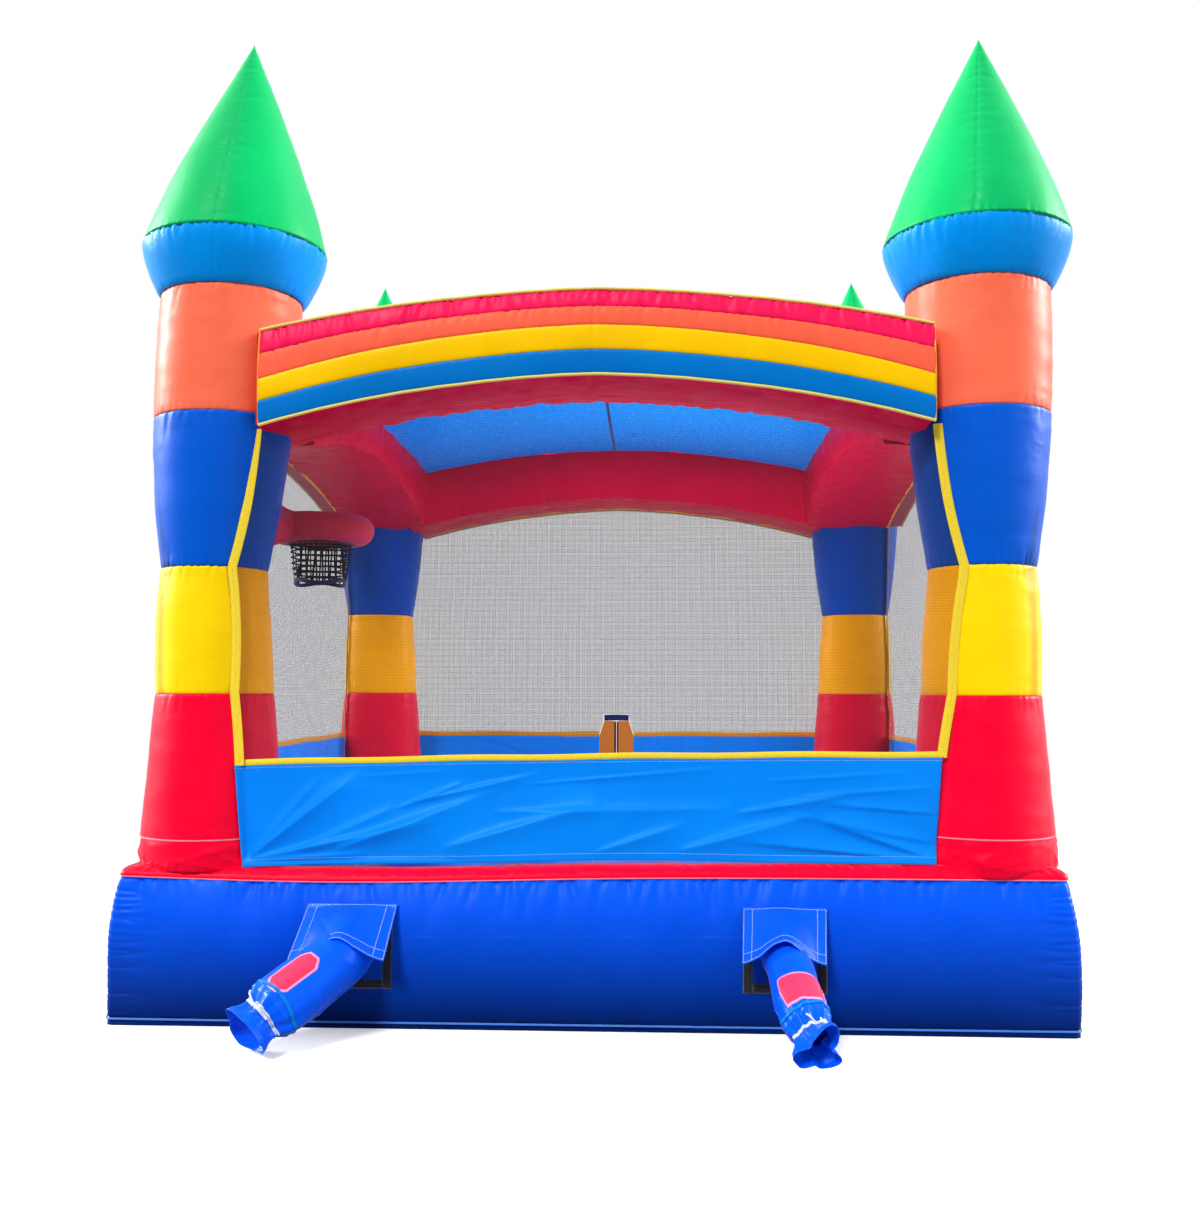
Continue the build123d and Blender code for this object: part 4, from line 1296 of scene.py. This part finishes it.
APRON_FOLDS = [
    (-1.42, 0.655, -0.93, 1.04, 0.027, 0.07), (-1.42, 0.655, -0.66, 0.82, 0.025, 0.06),
    (-1.42, 0.66, -1.10, 1.02, 0.012, 0.05), (-1.42, 0.655, -0.90, 0.69, 0.012, 0.03),
    (-1.20, 0.70, -0.80, 0.88, 0.015, 0.045), (-1.05, 0.70, -0.35, 0.96, 0.020, 0.075),
    (-0.80, 0.87, -0.52, 0.98, 0.014, 0.025), (-0.72, 0.90, -0.20, 1.02, 0.014, 0.03),
    (-0.61, 0.71, 0.05, 0.90, 0.022, 0.08), (-0.28, 0.97, 0.56, 1.045, 0.010, 0.014),
    (-0.40, 0.86, 0.60, 0.88, 0.015, 0.06), (0.02, 0.70, 0.40, 0.82, 0.014, 0.05),
    (0.36, 0.71, 0.90, 0.85, 0.022, 0.07), (0.59, 0.86, 1.07, 0.94, 0.017, 0.04),
    (1.42, 0.67, 0.95, 0.83, 0.020, 0.05), (1.42, 0.67, 0.60, 0.75, 0.017, 0.04),
    (1.43, 0.86, 0.95, 0.90, 0.010, 0.025), (1.42, 0.74, 0.80, 0.86, 0.012, 0.05),
    (0.70, 0.99, 1.30, 1.03, 0.008, 0.014), (0.85, 0.93, 1.40, 0.97, 0.009, 0.018),
    (-0.95, 1.00, -0.55, 1.03, 0.008, 0.016),
]
edge = 1.4545
piece, points = hanging_sheet(
    "front_apron", "front", -edge, edge, front_hem, lambda a: rim_height("front", a) - 0.002, 801, 0.030,
    APRON_FOLDS, over_columns=True
)
settle(piece, "root", "vinyl_azure", "front_sheet")
hems = [edge_stitch("front_apron_hem_stitch", points, 5), edge_stitch("front_apron_top_stitch", points, -3)]
for hem in hems:
    settle(hem, "root", "vinyl_azure")
flat = (2 * edge + 0.02, sheet_high.z - sheet_low.z)
edge = float(column_edge(sheet_low.z + 0.2)) + 0.02

DOOR_EDGE = 0.449
wall_cloths = (
    ("left_wall_cloth", "left_wall", -edge, edge, 22, 0),
    ("right_wall_cloth", "right_wall", -edge, edge, 22, 7),
    ("back_wall_cloth_right", "back_wall", -edge, -DOOR_EDGE, 9, 14),
    ("back_wall_cloth_left", "back_wall", DOOR_EDGE, edge, 9, 15),
)
for name, cad_name, first, last, count, seed in wall_cloths:
    side = cad_name.split("_")[0]
    creases = random_folds(840 + seed, first, last, WALL_LOW_Z, WALL_TOP, count)
    piece, points = hanging_sheet(
        name, side, first, last, lambda a: WALL_LOW_Z + 0 * a, lambda a: WALL_TOP + 0 * a, 820 + seed, 0.0,
        creases, look="wall_azure_brightened"
    )
    settle(piece, "root", "vinyl_azure", cad_name)
    hem = settle(edge_stitch(f"{name}_stitch", points, -3), "root", "vinyl_azure")
    flat = (last - first + 0.01, WALL_TOP - WALL_LOW_Z)

# ------------------------------------------------------------------ entrance

CLOTH_Y = 1.8495  # where the entrance's cloths hang, a little outside the wall's middle
header_low, header_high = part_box("entrance_header")
STRIP_HALF = -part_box("entrance_closure_left")[0].x
TOP_HALF = header_high.x


def door_leaf(hand, sign, body):
    """A door leaf: cloth with a stitched hem and a gold tape along its top."""
    low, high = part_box(f"entrance_leaf_{hand}")
    s = np.linspace(low.x, high.x, 61)[None]
    t = np.concatenate([[0, 0.03, 0.06], np.linspace(0.1, 0.9, 30), [0.94, 0.97, 1]])[:, None]
    z = low.z + t * (high.z - low.z)
    spread = s + 0 * z
    inner = np.minimum(spread - low.x, high.x - spread)
    flat = xyz(spread, 0, z)
    wave = 0.008 * noise(flat @ np.array([[1.0, 0, 0.6], [0, 1, 0], [-0.5, 0, 2.0]]), 0.30, 850 + sign)
    wave = wave + 0.005 * creased(flat * [1, 1, 2.2], 0.2, 853 + sign, 7)
    points = xyz(spread, CLOTH_Y - 0.0017 + wave * clamp(inner / 0.05), z)
    leaf = grid(f"door_leaf_{hand}", points, "wall_azure_brightened", thick=0.0018)
    settle(leaf, body, "vinyl_azure", f"entrance_leaf_{hand}")
    hem = settle(edge_stitch(f"door_leaf_{hand}_stitch", points, -3), body, "vinyl_azure")
    run = np.linspace(low.x, high.x, 60)
    line = xyz(run, CLOTH_Y, high.z + 0.006)
    outline = tape_outline(-0.011, 0.011, 0.003)
    tape = sweep(f"door_leaf_{hand}_tape", line, (0, 1, 0), outline, "piping_gold")
    settle(tape, body, "vinyl_yellow")
    flat = (high.x - low.x, high.z - low.z)
    return leaf


def closure_strip(hand, sign, body, leaf):
    """The strip that closes a leaf: cloth, and half of the zip along its inner edge."""
    low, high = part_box(f"entrance_closure_{hand}")
    inner_x = abs(high.x if sign < 0 else low.x)
    t = np.linspace(0, 1, 70)[:, None]
    z = low.z + t * (high.z - low.z)
    outer_x = np.interp(z, [low.z, WALL_TOP, high.z], [STRIP_HALF, STRIP_HALF, TOP_HALF])
    s = np.linspace(0, 1, 17)[None]
    spread = sign * (inner_x + 0.010 + s * (outer_x - inner_x - 0.010))
    flat = xyz(spread, 0, z)
    out = CLOTH_Y + 0.0035 * noise(flat * [1.5, 1, 1], 0.16, 860 + sign) * np.sin(math.pi * s) ** 0.5
    points = xyz(spread, out, z)
    strip = grid(f"closure_strip_{hand}", points, "door_yellow_shaded", thick=0.0022)
    settle(strip, body, "vinyl_orange", f"entrance_closure_{hand}")
    zs = np.linspace(low.z + 0.004, high.z - 0.004, 60)
    line = xyz(sign * (inner_x + 0.007), CLOTH_Y - 0.0003, zs)
    tape = sweep(f"zip_tape_{hand}", line, (0, 1, 0), tape_outline(-0.0065, 0.0065, 0.0016), "zip_tape")
    settle(tape, body, "hook_loop_black")
    tooth_line = line - [sign * 0.006, -0.0008, 0]
    teeth = stitches(f"zip_teeth_{hand}", tooth_line, (0, 1, 0), "zip_metal", 0.0028, 0.0017, 0.0045, 0.0020)
    settle(teeth, body, "zip_metal")
    seam = stitches(f"closure_stitch_{hand}", points[:, 2] + [0, 0.0016, 0], (0, 1, 0), "piping_pale")
    settle(seam, body, "vinyl_orange")
    flat = (STRIP_HALF - inner_x, high.z - low.z)


for sign, hand in HANDS.items():
    body = f"entrance_leaf_{hand}"
    closure_strip(hand, sign, body, door_leaf(hand, sign, body))

run = np.linspace(-TOP_HALF, TOP_HALF, 50)
mid_z = (header_low.z + header_high.z) / 2
tall = (header_high.z - header_low.z) / 2
line = xyz(run, CLOTH_Y - 0.0027, mid_z + 0.002 * np.cos(run * 18))
header = sweep("door_header", line, (0, 1, 0), tape_outline(-tall, tall, 0.0038), "navy")
settle(header, "root", "webbing_navy", "entrance_header")
for name, level in (("low", -0.4), ("high", 0.4)):
    row = line + [0, 0.0042, 2 * level * tall * 0.8]
    row = settle(stitches(f"door_header_stitch_{name}", row, (0, 1, 0)), "root", "webbing_navy")
wear("zip_slider", "zip_metal")

# ------------------------------------------------------------------ ball hoop

hoop_low, hoop_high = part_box("hoop_ring")
net_low, net_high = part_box("hoop_net")
HOOP = np.array([(net_low.x + net_high.x) / 2, (net_low.y + net_high.y) / 2, (hoop_low.z + hoop_high.z) / 2])
HOOP_OUT = hoop_high.x - HOOP[0]
TUBE_R = 0.077
RING_R_HOOP = HOOP_OUT - TUBE_R

u = np.arange(96) * TAU / 96
v = np.arange(40) * TAU / 40
uu, vv = np.meshgrid(u, v, indexing="ij")
circle = xyz(np.cos(uu), np.sin(uu), 0)
tube = TUBE_R - 0.009 + 0.003 * noise(RING_R_HOOP * circle, 0.07, 900)
seam_away = np.abs(np.pi - vv) * TUBE_R
tube = tube + pleats(uu * RING_R_HOOP, seam_away, TAU * RING_R_HOOP, 0.035, 0.006, 0.028, 901)
ring_mesh = HOOP + (RING_R_HOOP + tube * np.cos(vv))[..., None] * circle + xyz(0, 0, tube * np.sin(vv))
to_column = np.array([-COLUMN_AT - HOOP[0], -COLUMN_AT - HOOP[1], 0])
root_run = np.linalg.norm(to_column) - 0.20
towards = unit(to_column)
sideways = np.array([-towards[1], towards[0], 0])
t = np.linspace(0, 1, 34)[:, None]
turn = (np.arange(64) * TAU / 64)[None]
flare = 0.071 + (0.124 - 0.071) * t**1.6
flare = flare + pleats(turn * 0.1, (1 - t) * root_run, TAU * 0.1, 0.045, 0.006, 0.05, 902)
flare = flare - 0.004 * hump(t - 0.42, 0.03)
flare = flare + 0.002 * noise(xyz(np.cos(turn), np.sin(turn), 3 * t), 0.4, 903)
start = HOOP + towards * (RING_R_HOOP - 0.03)
along_root = start + towards * (t * (root_run - RING_R_HOOP + 0.03 + 0.20 - 0.24))[..., None]
spokes = np.cos(turn)[..., None] * sideways + xyz(0, 0, np.sin(turn))
root_mesh = along_root + flare[..., None] * spokes
points = np.concatenate([ring_mesh.reshape(-1, 3), root_mesh.reshape(-1, 3)])
faces = grid_faces(96, 40, round_columns=True, round_rows=True)
faces += grid_faces(34, 64, round_columns=True, start=96 * 40, capped=True)
rough = new_piece("hoop_rough", points, faces, "red")
merge = rough.modifiers.new("merge", "REMESH")
merge.mode = "VOXEL"
merge.voxel_size = 0.007
soften = rough.modifiers.new("soften", "SMOOTH")
soften.iterations = 3
merged = bpy.data.meshes.new_from_object(rough.evaluated_get(bpy.context.evaluated_depsgraph_get()))
merged.name = "hoop_body"
merged.polygons.foreach_set("use_smooth", [True] * len(merged.polygons))
bpy.data.objects.remove(rough)
hoop = placed("hoop_body", merged)
merged.materials.clear()
merged.materials.append(LOOK["hoop_red_shaded"])
settle(hoop, "root", "vinyl_red", "hoop_ring")

t = np.linspace(0, 1, 34)[:, None]
turn = (np.arange(96) * TAU / 96)[None]
z = net_high.z + 0.012 + t * (net_low.z - net_high.z - 0.012)
radius = (net_high.x - net_low.x) / 2 - 0.002 - t * 0.028
scallop = 0.006 * np.cos(9 * turn + 3.0 * t) * np.sin(math.pi * t)
scallop = scallop + 0.006 * noise(xyz(np.cos(turn), np.sin(turn), t), 0.6, 905) * t
radius = radius + scallop
sag = 0.008 * t * np.cos(3 * turn + 1)
points = xyz(HOOP[0] + radius * np.cos(turn), HOOP[1] + radius * np.sin(turn), z + sag)
bag = settle(grid("hoop_mesh_net", points, "hoop_mesh", round_columns=True), "root", "net_black", "hoop_net")
outward = xyz(np.cos(turn[0]), np.sin(turn[0]), 0)
for row, name in ((-1, "hoop_net_hem"), (0, "hoop_net_collar")):
    trim = sweep(name, points[row], outward, tape_outline(-0.009, 0.009, 0.003), "navy", closed=True)
    settle(trim, "root", "net_black")
flat = (TAU * 0.146, net_high.z - net_low.z)

# ------------------------------------------------------------------ blower ports, flaps and sleeves


def on_base(x, z, lift):
    """Points on the base's front side."""
    return xyz(x, -base_outward(x, z) - lift, z)


port_points = cad("port_frames")
ports = {
    "left": port_points[port_points[:, 0] < 0],
    "right": port_points[port_points[:, 0] > 0],
}
BAND = 0.038
joints = {j["name"]: j for j in frame["joints"]}


def port_frame(hand, cloud):
    """A port's frame: four bands of hook-and-loop, each stitched along its middle."""
    x0, x1 = cloud[:, 0].min(), cloud[:, 0].max()
    z0, z1 = cloud[:, 2].min(), cloud[:, 2].max()
    bars = {
        "left": (x0, x0 + BAND, z0, z1),
        "right": (x1 - BAND, x1, z0, z1),
        "top": (x0 + BAND, x1 - BAND, z1 - BAND, z1),
        "bottom": (x0 + BAND, x1 - BAND, z0, z0 + BAND),
    }
    for bar, (a, b, c, d) in bars.items():
        x = np.linspace(a, b, max(6, int((b - a) / 0.006)))[None]
        z = np.linspace(c, d, max(6, int((d - c) / 0.006)))[:, None]
        rim = np.minimum(np.minimum(x - a, b - x), np.minimum(z - c, d - z))
        points = on_base(x, z, 0.002 + 0.0045 * clamp(rim / 0.006))
        points[..., 1] += 0.0012 * noise(points, 0.012, 930)
        band = grid(f"port_{hand}_band_{bar}", points, "hook_loop", thick=0.001)
        settle(band, "root", "hook_loop_black", "port_frames")
        if bar in ("left", "right"):
            line = on_base((a + b) / 2, np.linspace(c, d, 40), 0.0072)
        else:
            line = on_base(np.linspace(a, b, 40), (c + d) / 2, 0.0072)
        row = stitches(f"port_{hand}_band_{bar}_stitch", line, (0, -1, 0), "navy", 0.005, 0.003)
        settle(row, "root", "hook_loop_black")


def port_flap(hand):
    """The flap over a port, arched over the sleeve and stitched along its edges."""
    body = f"port_flap_{hand}"
    hinge = joints[f"flap_{hand}_lift"]["pos_m"]
    half = (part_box(body)[1].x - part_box(body)[0].x) / 2
    s = np.linspace(-1, 1, 81)[None]
    t = np.concatenate([np.linspace(0, 0.92, 44), [0.95, 0.975, 1.0]])[:, None]
    shape = {"left": 0.06, "right": -0.02}[hand]
    over = hump(s - shape + 0 * t, 0.62)
    tilt = np.radians(34 + 31 * over)
    grown, lengthened, flare = {"left": (1.04, 0.97, 0.05), "right": (0.95, 0.94, -0.03)}[hand]
    length = 0.250 * lengthened * (1 - 0.09 * over)
    first = clamp(t / 0.16)
    drop = length * t
    y = hinge[1] - drop * np.sin(tilt) * (0.55 + 0.45 * first) - 0.020 * t**2 * np.abs(s)
    z = hinge[2] - drop * np.cos(tilt) - 0.004 * t
    aside = {"left": 0.028 * t, "right": -0.004 + 0.020 * t}[hand]
    points = xyz(hinge[0] + s * half * grown * (1 + flare * t * np.abs(s)) - aside, y, z)
    slack = 0.006 * noise(points, 0.09, 940) + 0.006 * creased(points, 0.12, 941, 6)
    slack = slack * clamp(t / 0.1) * (0.35 + 0.65 * np.sin(math.pi * (s + 1) / 2))
    points = points + normals_of(points) * slack[..., None]
    outward = normals_of(points)
    outward *= np.where((outward[..., 1] < 0), 1.0, -1.0)[..., None]
    flap = settle(grid(f"flap_{hand}", points, "sleeve_blue", thick=0.002), body, "vinyl_base_blue", body)
    lifted = points + outward * 0.0018
    rows = {
        "side_a": (slice(2, -1), 1),
        "side_b": (slice(2, -1), -2),
        "inner_a": (slice(2, -1), 9),
        "inner_b": (slice(2, -1), -10),
        "foot": (-2, slice(1, -1)),
        "foot_inner": (-8, slice(1, -1)),
        "head": (2, slice(1, -1)),
    }
    for name, row in rows.items():
        name = f"flap_{hand}_stitch_{name}"
        row = stitches(name, lifted[row], outward[row], "thread", 0.0085, 0.0022, 0.0042, 0.0016)
        settle(row, body, "vinyl_base_blue")


for hand, cloud in ports.items():
    port_frame(hand, cloud)
    port_flap(hand)


# Each sleeve's middle line, its girth as a share of the usual one, and the folds of its neck and mouth:
# how many go round, how deep they are and how far they are turned
SLEEVES = {
    "left": {
        "path": [
            (-0.950, -1.962, 0.325), (-0.952, -2.085, 0.318),
            (-1.075, -2.205, 0.226), (-1.256, -2.356, 0.086),
        ],
        "girth": 1.09,
        "lobes": ((5, 0.10, 0.4), (8, 0.09, 1.3), (13, 0.07, 2.0)),
        "mouth": ((2, 0.10, 0.6), (3, 0.14, 2.2), (5, 0.05, 0.2)),
    },
    "right": {
        "path": [
            (0.778, -1.962, 0.325), (0.776, -2.090, 0.318),
            (0.796, -2.285, 0.205), (0.850, -2.482, 0.085),
        ],
        "girth": 0.84,
        "lobes": ((6, 0.09, 0.1), (9, 0.10, 0.8), (14, 0.08, 1.5)),
        "mouth": ((3, 0.34, 0.9), (2, 0.16, 2.6), (7, 0.08, 0.3)),
    },
}
NECK = 0.83
SHAPE_S = [0, 0.12, 0.30, 0.55, 0.68, 0.76, NECK, 0.88, 0.94, 1.0]
SHAPE_R = [0.098, 0.103, 0.105, 0.108, 0.108, 0.101, 0.066, 0.077, 0.091, 0.095]


def curve_at(path, s):
    """Points and directions on a smooth line through the sleeve's stations."""
    path = np.array(path)
    knots = np.concatenate([[0], np.cumsum(np.linalg.norm(np.diff(path, axis=0), axis=1))])
    knots /= knots[-1]
    dense = np.linspace(0, 1, 400)
    line = np.stack([np.interp(dense, knots, path[:, i]) for i in range(3)], -1)
    for _ in range(3):
        pad = np.concatenate([np.repeat(line[:1], 30, 0), line, np.repeat(line[-1:], 30, 0)])
        kernel = np.ones(61) / 61
        line = np.stack([np.convolve(pad[:, i], kernel, "valid") for i in range(3)], -1)
    line[:, :] = line + (path[0] - line[0]) * (1 - dense[:, None]) + (path[-1] - line[-1]) * dense[:, None]
    heading = unit(np.gradient(line, axis=0))
    where = np.asarray(s, float)
    place = np.stack([np.interp(where, dense, line[:, i]) for i in range(3)], -1)
    ahead = np.stack([np.interp(where, dense, heading[:, i]) for i in range(3)], -1)
    return place, unit(ahead)


def sleeve_surface(hand, s, turn, lift=0.0):
    """Points on a sleeve: s along it from 0 to 1, and the turn round it, 90 degrees being its top."""
    facts = SLEEVES[hand]
    s, turn = np.broadcast_arrays(np.asarray(s, float), np.asarray(turn, float))
    place, ahead = curve_at(facts["path"], s)
    side = unit(np.cross(ahead, [0, 0, 1.0]))
    over = np.cross(side, ahead)
    radius = np.interp(s, SHAPE_S, SHAPE_R) * (1 + (facts["girth"] - 1) * clamp(s / 0.3))
    before = np.exp(-(clamp(NECK - s) / 0.085)) * (s <= NECK)
    after = clamp((s - NECK) / 0.10) * (s > NECK)
    fold = sum(a * np.cos(k * turn + p) for k, a, p in facts["lobes"])
    flare = sum(a * np.cos(k * turn + p) for k, a, p in facts["mouth"])
    close = hump(s - NECK, 0.05)
    radius = radius * (1 + fold * (0.85 * before + 0.75 * close * (s > NECK)) + flare * after)
    spot = place + radius[..., None] * (np.cos(turn)[..., None] * side + np.sin(turn)[..., None] * over)
    radius = radius + (0.0035 * noise(spot, 0.10, 960) + 0.004 * creased(spot, 0.13, 961, 7)) * clamp(s / 0.1)
    radius = radius + lift
    spot = place + radius[..., None] * (np.cos(turn)[..., None] * side + np.sin(turn)[..., None] * over)
    lying = 0.010
    sunk = lying + 0.02 * np.exp((spot[..., 2] - lying - 0.02) / 0.02)
    spot[..., 2] = np.where(spot[..., 2] < lying + 0.02, sunk, spot[..., 2])
    return spot


def sleeve_cord(name, hand, s, points, outline, look, closed=False):
    """A cord or tape along points on a sleeve, at their places s along it."""
    outward = points - curve_at(SLEEVES[hand]["path"], s)[0]
    return sweep(name, points, outward, outline, look, closed)


def blower_sleeve(hand, body):
    """A blower sleeve, sewn to the base at its root."""
    s = np.concatenate([np.linspace(0, 0.60, 60)[:-1], np.linspace(0.60, 1.0, 70)])[:, None]
    turn = (np.arange(168) * TAU / 168)[None]
    ragged = 1 + 0.030 * np.cos(2 * turn + 0.5) + 0.020 * np.cos(5 * turn + 1.0)
    reach = np.where(s > NECK, NECK + (s - NECK) * ragged, s)
    points = sleeve_surface(hand, reach, turn)
    sleeve = grid(f"sleeve_{hand}", points, "sleeve_blue", round_columns=True, thick=0.0022)
    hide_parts(body)
    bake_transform(sleeve)


def sleeve_tie(hand, body):
    """The tie: two turns of cord in the neck's folds, a knot on top and two short ends."""
    laps = np.linspace(0, 2.15, 150)
    s_line = NECK - 0.012 + 0.022 * laps / 2.15
    wound = sleeve_surface(hand, s_line, laps * TAU + 1.9, 0.0035)
    wrap = sleeve_cord(f"tie_{hand}_wrap", hand, s_line, wound, round_outline(0.0034), "cord")
    settle(wrap, body, "cord_white", f"tie_cord_{hand}")
    knot_turn = 1.9
    top = sleeve_surface(hand, NECK, knot_turn, 0.008)
    place, ahead = curve_at(SLEEVES[hand]["path"], NECK)
    out = unit(top - place)
    side = np.cross(ahead, out)
    bend = np.linspace(0, TAU, 70)
    across = np.sin(bend) + 2 * np.sin(2 * bend)
    along = np.cos(bend) - 2 * np.cos(2 * bend)
    trefoil = xyz(across, along, -np.sin(3 * bend)) * 0.0042
    knot_line = top + trefoil[:, :1] * side + trefoil[:, 1:2] * ahead + (trefoil[:, 2:] + 0.004) * out
    knot = sweep(f"tie_{hand}_knot", knot_line[:-1], out, round_outline(0.0034), "cord", closed=True)
    settle(knot, body, "cord_white")
    for number, sign in enumerate((-1, 1)):
        q = np.linspace(0, 1, 26)
        reach_turn = knot_turn + sign * (0.10 + 0.62 * q)
        end_s = NECK + 0.015 * np.sin(2.6 * q) - 0.05 * q * (number == 0)
        end_line = sleeve_surface(hand, end_s, reach_turn, 0.006)
        outline = round_outline(0.0038)
        end_piece = sleeve_cord(f"tie_{hand}_end_{number}", hand, NECK + 0 * q, end_line, outline, "cord")
        settle(end_piece, body, "cord_white")


def sleeve_casing(hand, body):
    """The casing sewn round a sleeve, above its neck."""
    ring_turn = np.linspace(0, TAU, 150)[:-1]
    casing_s = 0.715 + 0.012 * np.sin(ring_turn * 2)
    ring_line = sleeve_surface(hand, casing_s, ring_turn, 0.0022)
    outline = tape_outline(-0.007, 0.007, 0.0035)
    name = f"sleeve_{hand}_casing"
    casing = sleeve_cord(name, hand, casing_s, ring_line, outline, "stripe_blue", closed=True)
    settle(casing, body, "vinyl_blue")


def sleeve_patch(hand, body):
    """The plain patch: a six-sided one along the left sleeve, a band over the right one."""
    if hand == "left":
        centre_s, centre_turn, long, wide = 0.565, 2.05, 0.165, 0.100
    else:
        centre_s, centre_turn, long, wide = 0.585, 1.55, 0.112, 0.215
    sleeve_length = 0.52
    for look, grow, lift in (("patch_pink", 0.0, 0.0022), ("patch_red", -0.007, 0.0040)):
        a, b = long / 2 + grow, wide / 2 + grow
        p = np.linspace(-1, 1, 41)[:, None]
        q = np.linspace(-1, 1, 41)[None]
        if hand == "left":
            taper = clamp((1 - np.abs(p)) / 0.34) * 0.5 + 0.5
        else:
            taper = 1 - 0.04 * p**2
        rim = np.minimum((1 - np.abs(p)) * a, (1 - np.abs(q)) * b * taper)
        raised = lift * np.clip(rim / 0.003, 0.35, 1)
        patch_turn = centre_turn + q * b * taper / 0.106
        points = sleeve_surface(hand, centre_s + p * a / sleeve_length, patch_turn, raised)
        settle(grid(f"sleeve_{hand}_{look}", points, look), body, "vinyl_red")


for hand in SLEEVES:
    for piece_of in (blower_sleeve, sleeve_tie, sleeve_casing, sleeve_patch):
        piece_of(hand, f"blower_sleeve_{hand}")

# ------------------------------------------------------------------ ground anchors

eyelet_points = cad("anchor_eyelets")
for sign_x, sign_y in itertools.product((-1, 1), repeat=2):
    own = eyelet_points[(eyelet_points[:, 0] * sign_x > 0) & (eyelet_points[:, 1] * sign_y > 0)]
    eye = (own.min(0) + own.max(0)) / 2
    half_width = 0.035
    flat, ring_faces = holed_panel(half_width, half_width, 0.0140, rings=6)
    flat = flat.reshape(-1, 2)
    start_x = LOW_HALF + 0.006
    strip_x = np.linspace(start_x, abs(eye[0]) - 0.035, 24)
    strip = np.stack(np.meshgrid(strip_x, np.linspace(-half_width, half_width, 15)), -1).reshape(-1, 2)
    strip_faces = grid_faces(15, 24, start=len(flat))
    plane = np.concatenate([flat + [abs(eye[0]), 0], strip])
    rise = 0.0030 + 0.0009 * np.sin(plane[:, 1] * TAU / 0.010) * 0.4 + 0.0006 * np.cos(plane[:, 0] * 40)
    points = np.stack([sign_x * plane[:, 0], eye[1] + plane[:, 1], rise], -1)
    name = f"anchor_tab_{'front' if sign_y < 0 else 'back'}_{'left' if sign_x < 0 else 'right'}"
    tab = thickened(new_piece(name, points, ring_faces + strip_faces, "navy"), 0.0028)
    settle(tab, "root", "webbing_navy", "anchor_tabs")
wear("anchor_eyelets", "brass")

# ------------------------------------------------------------------ bounds

low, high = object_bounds()
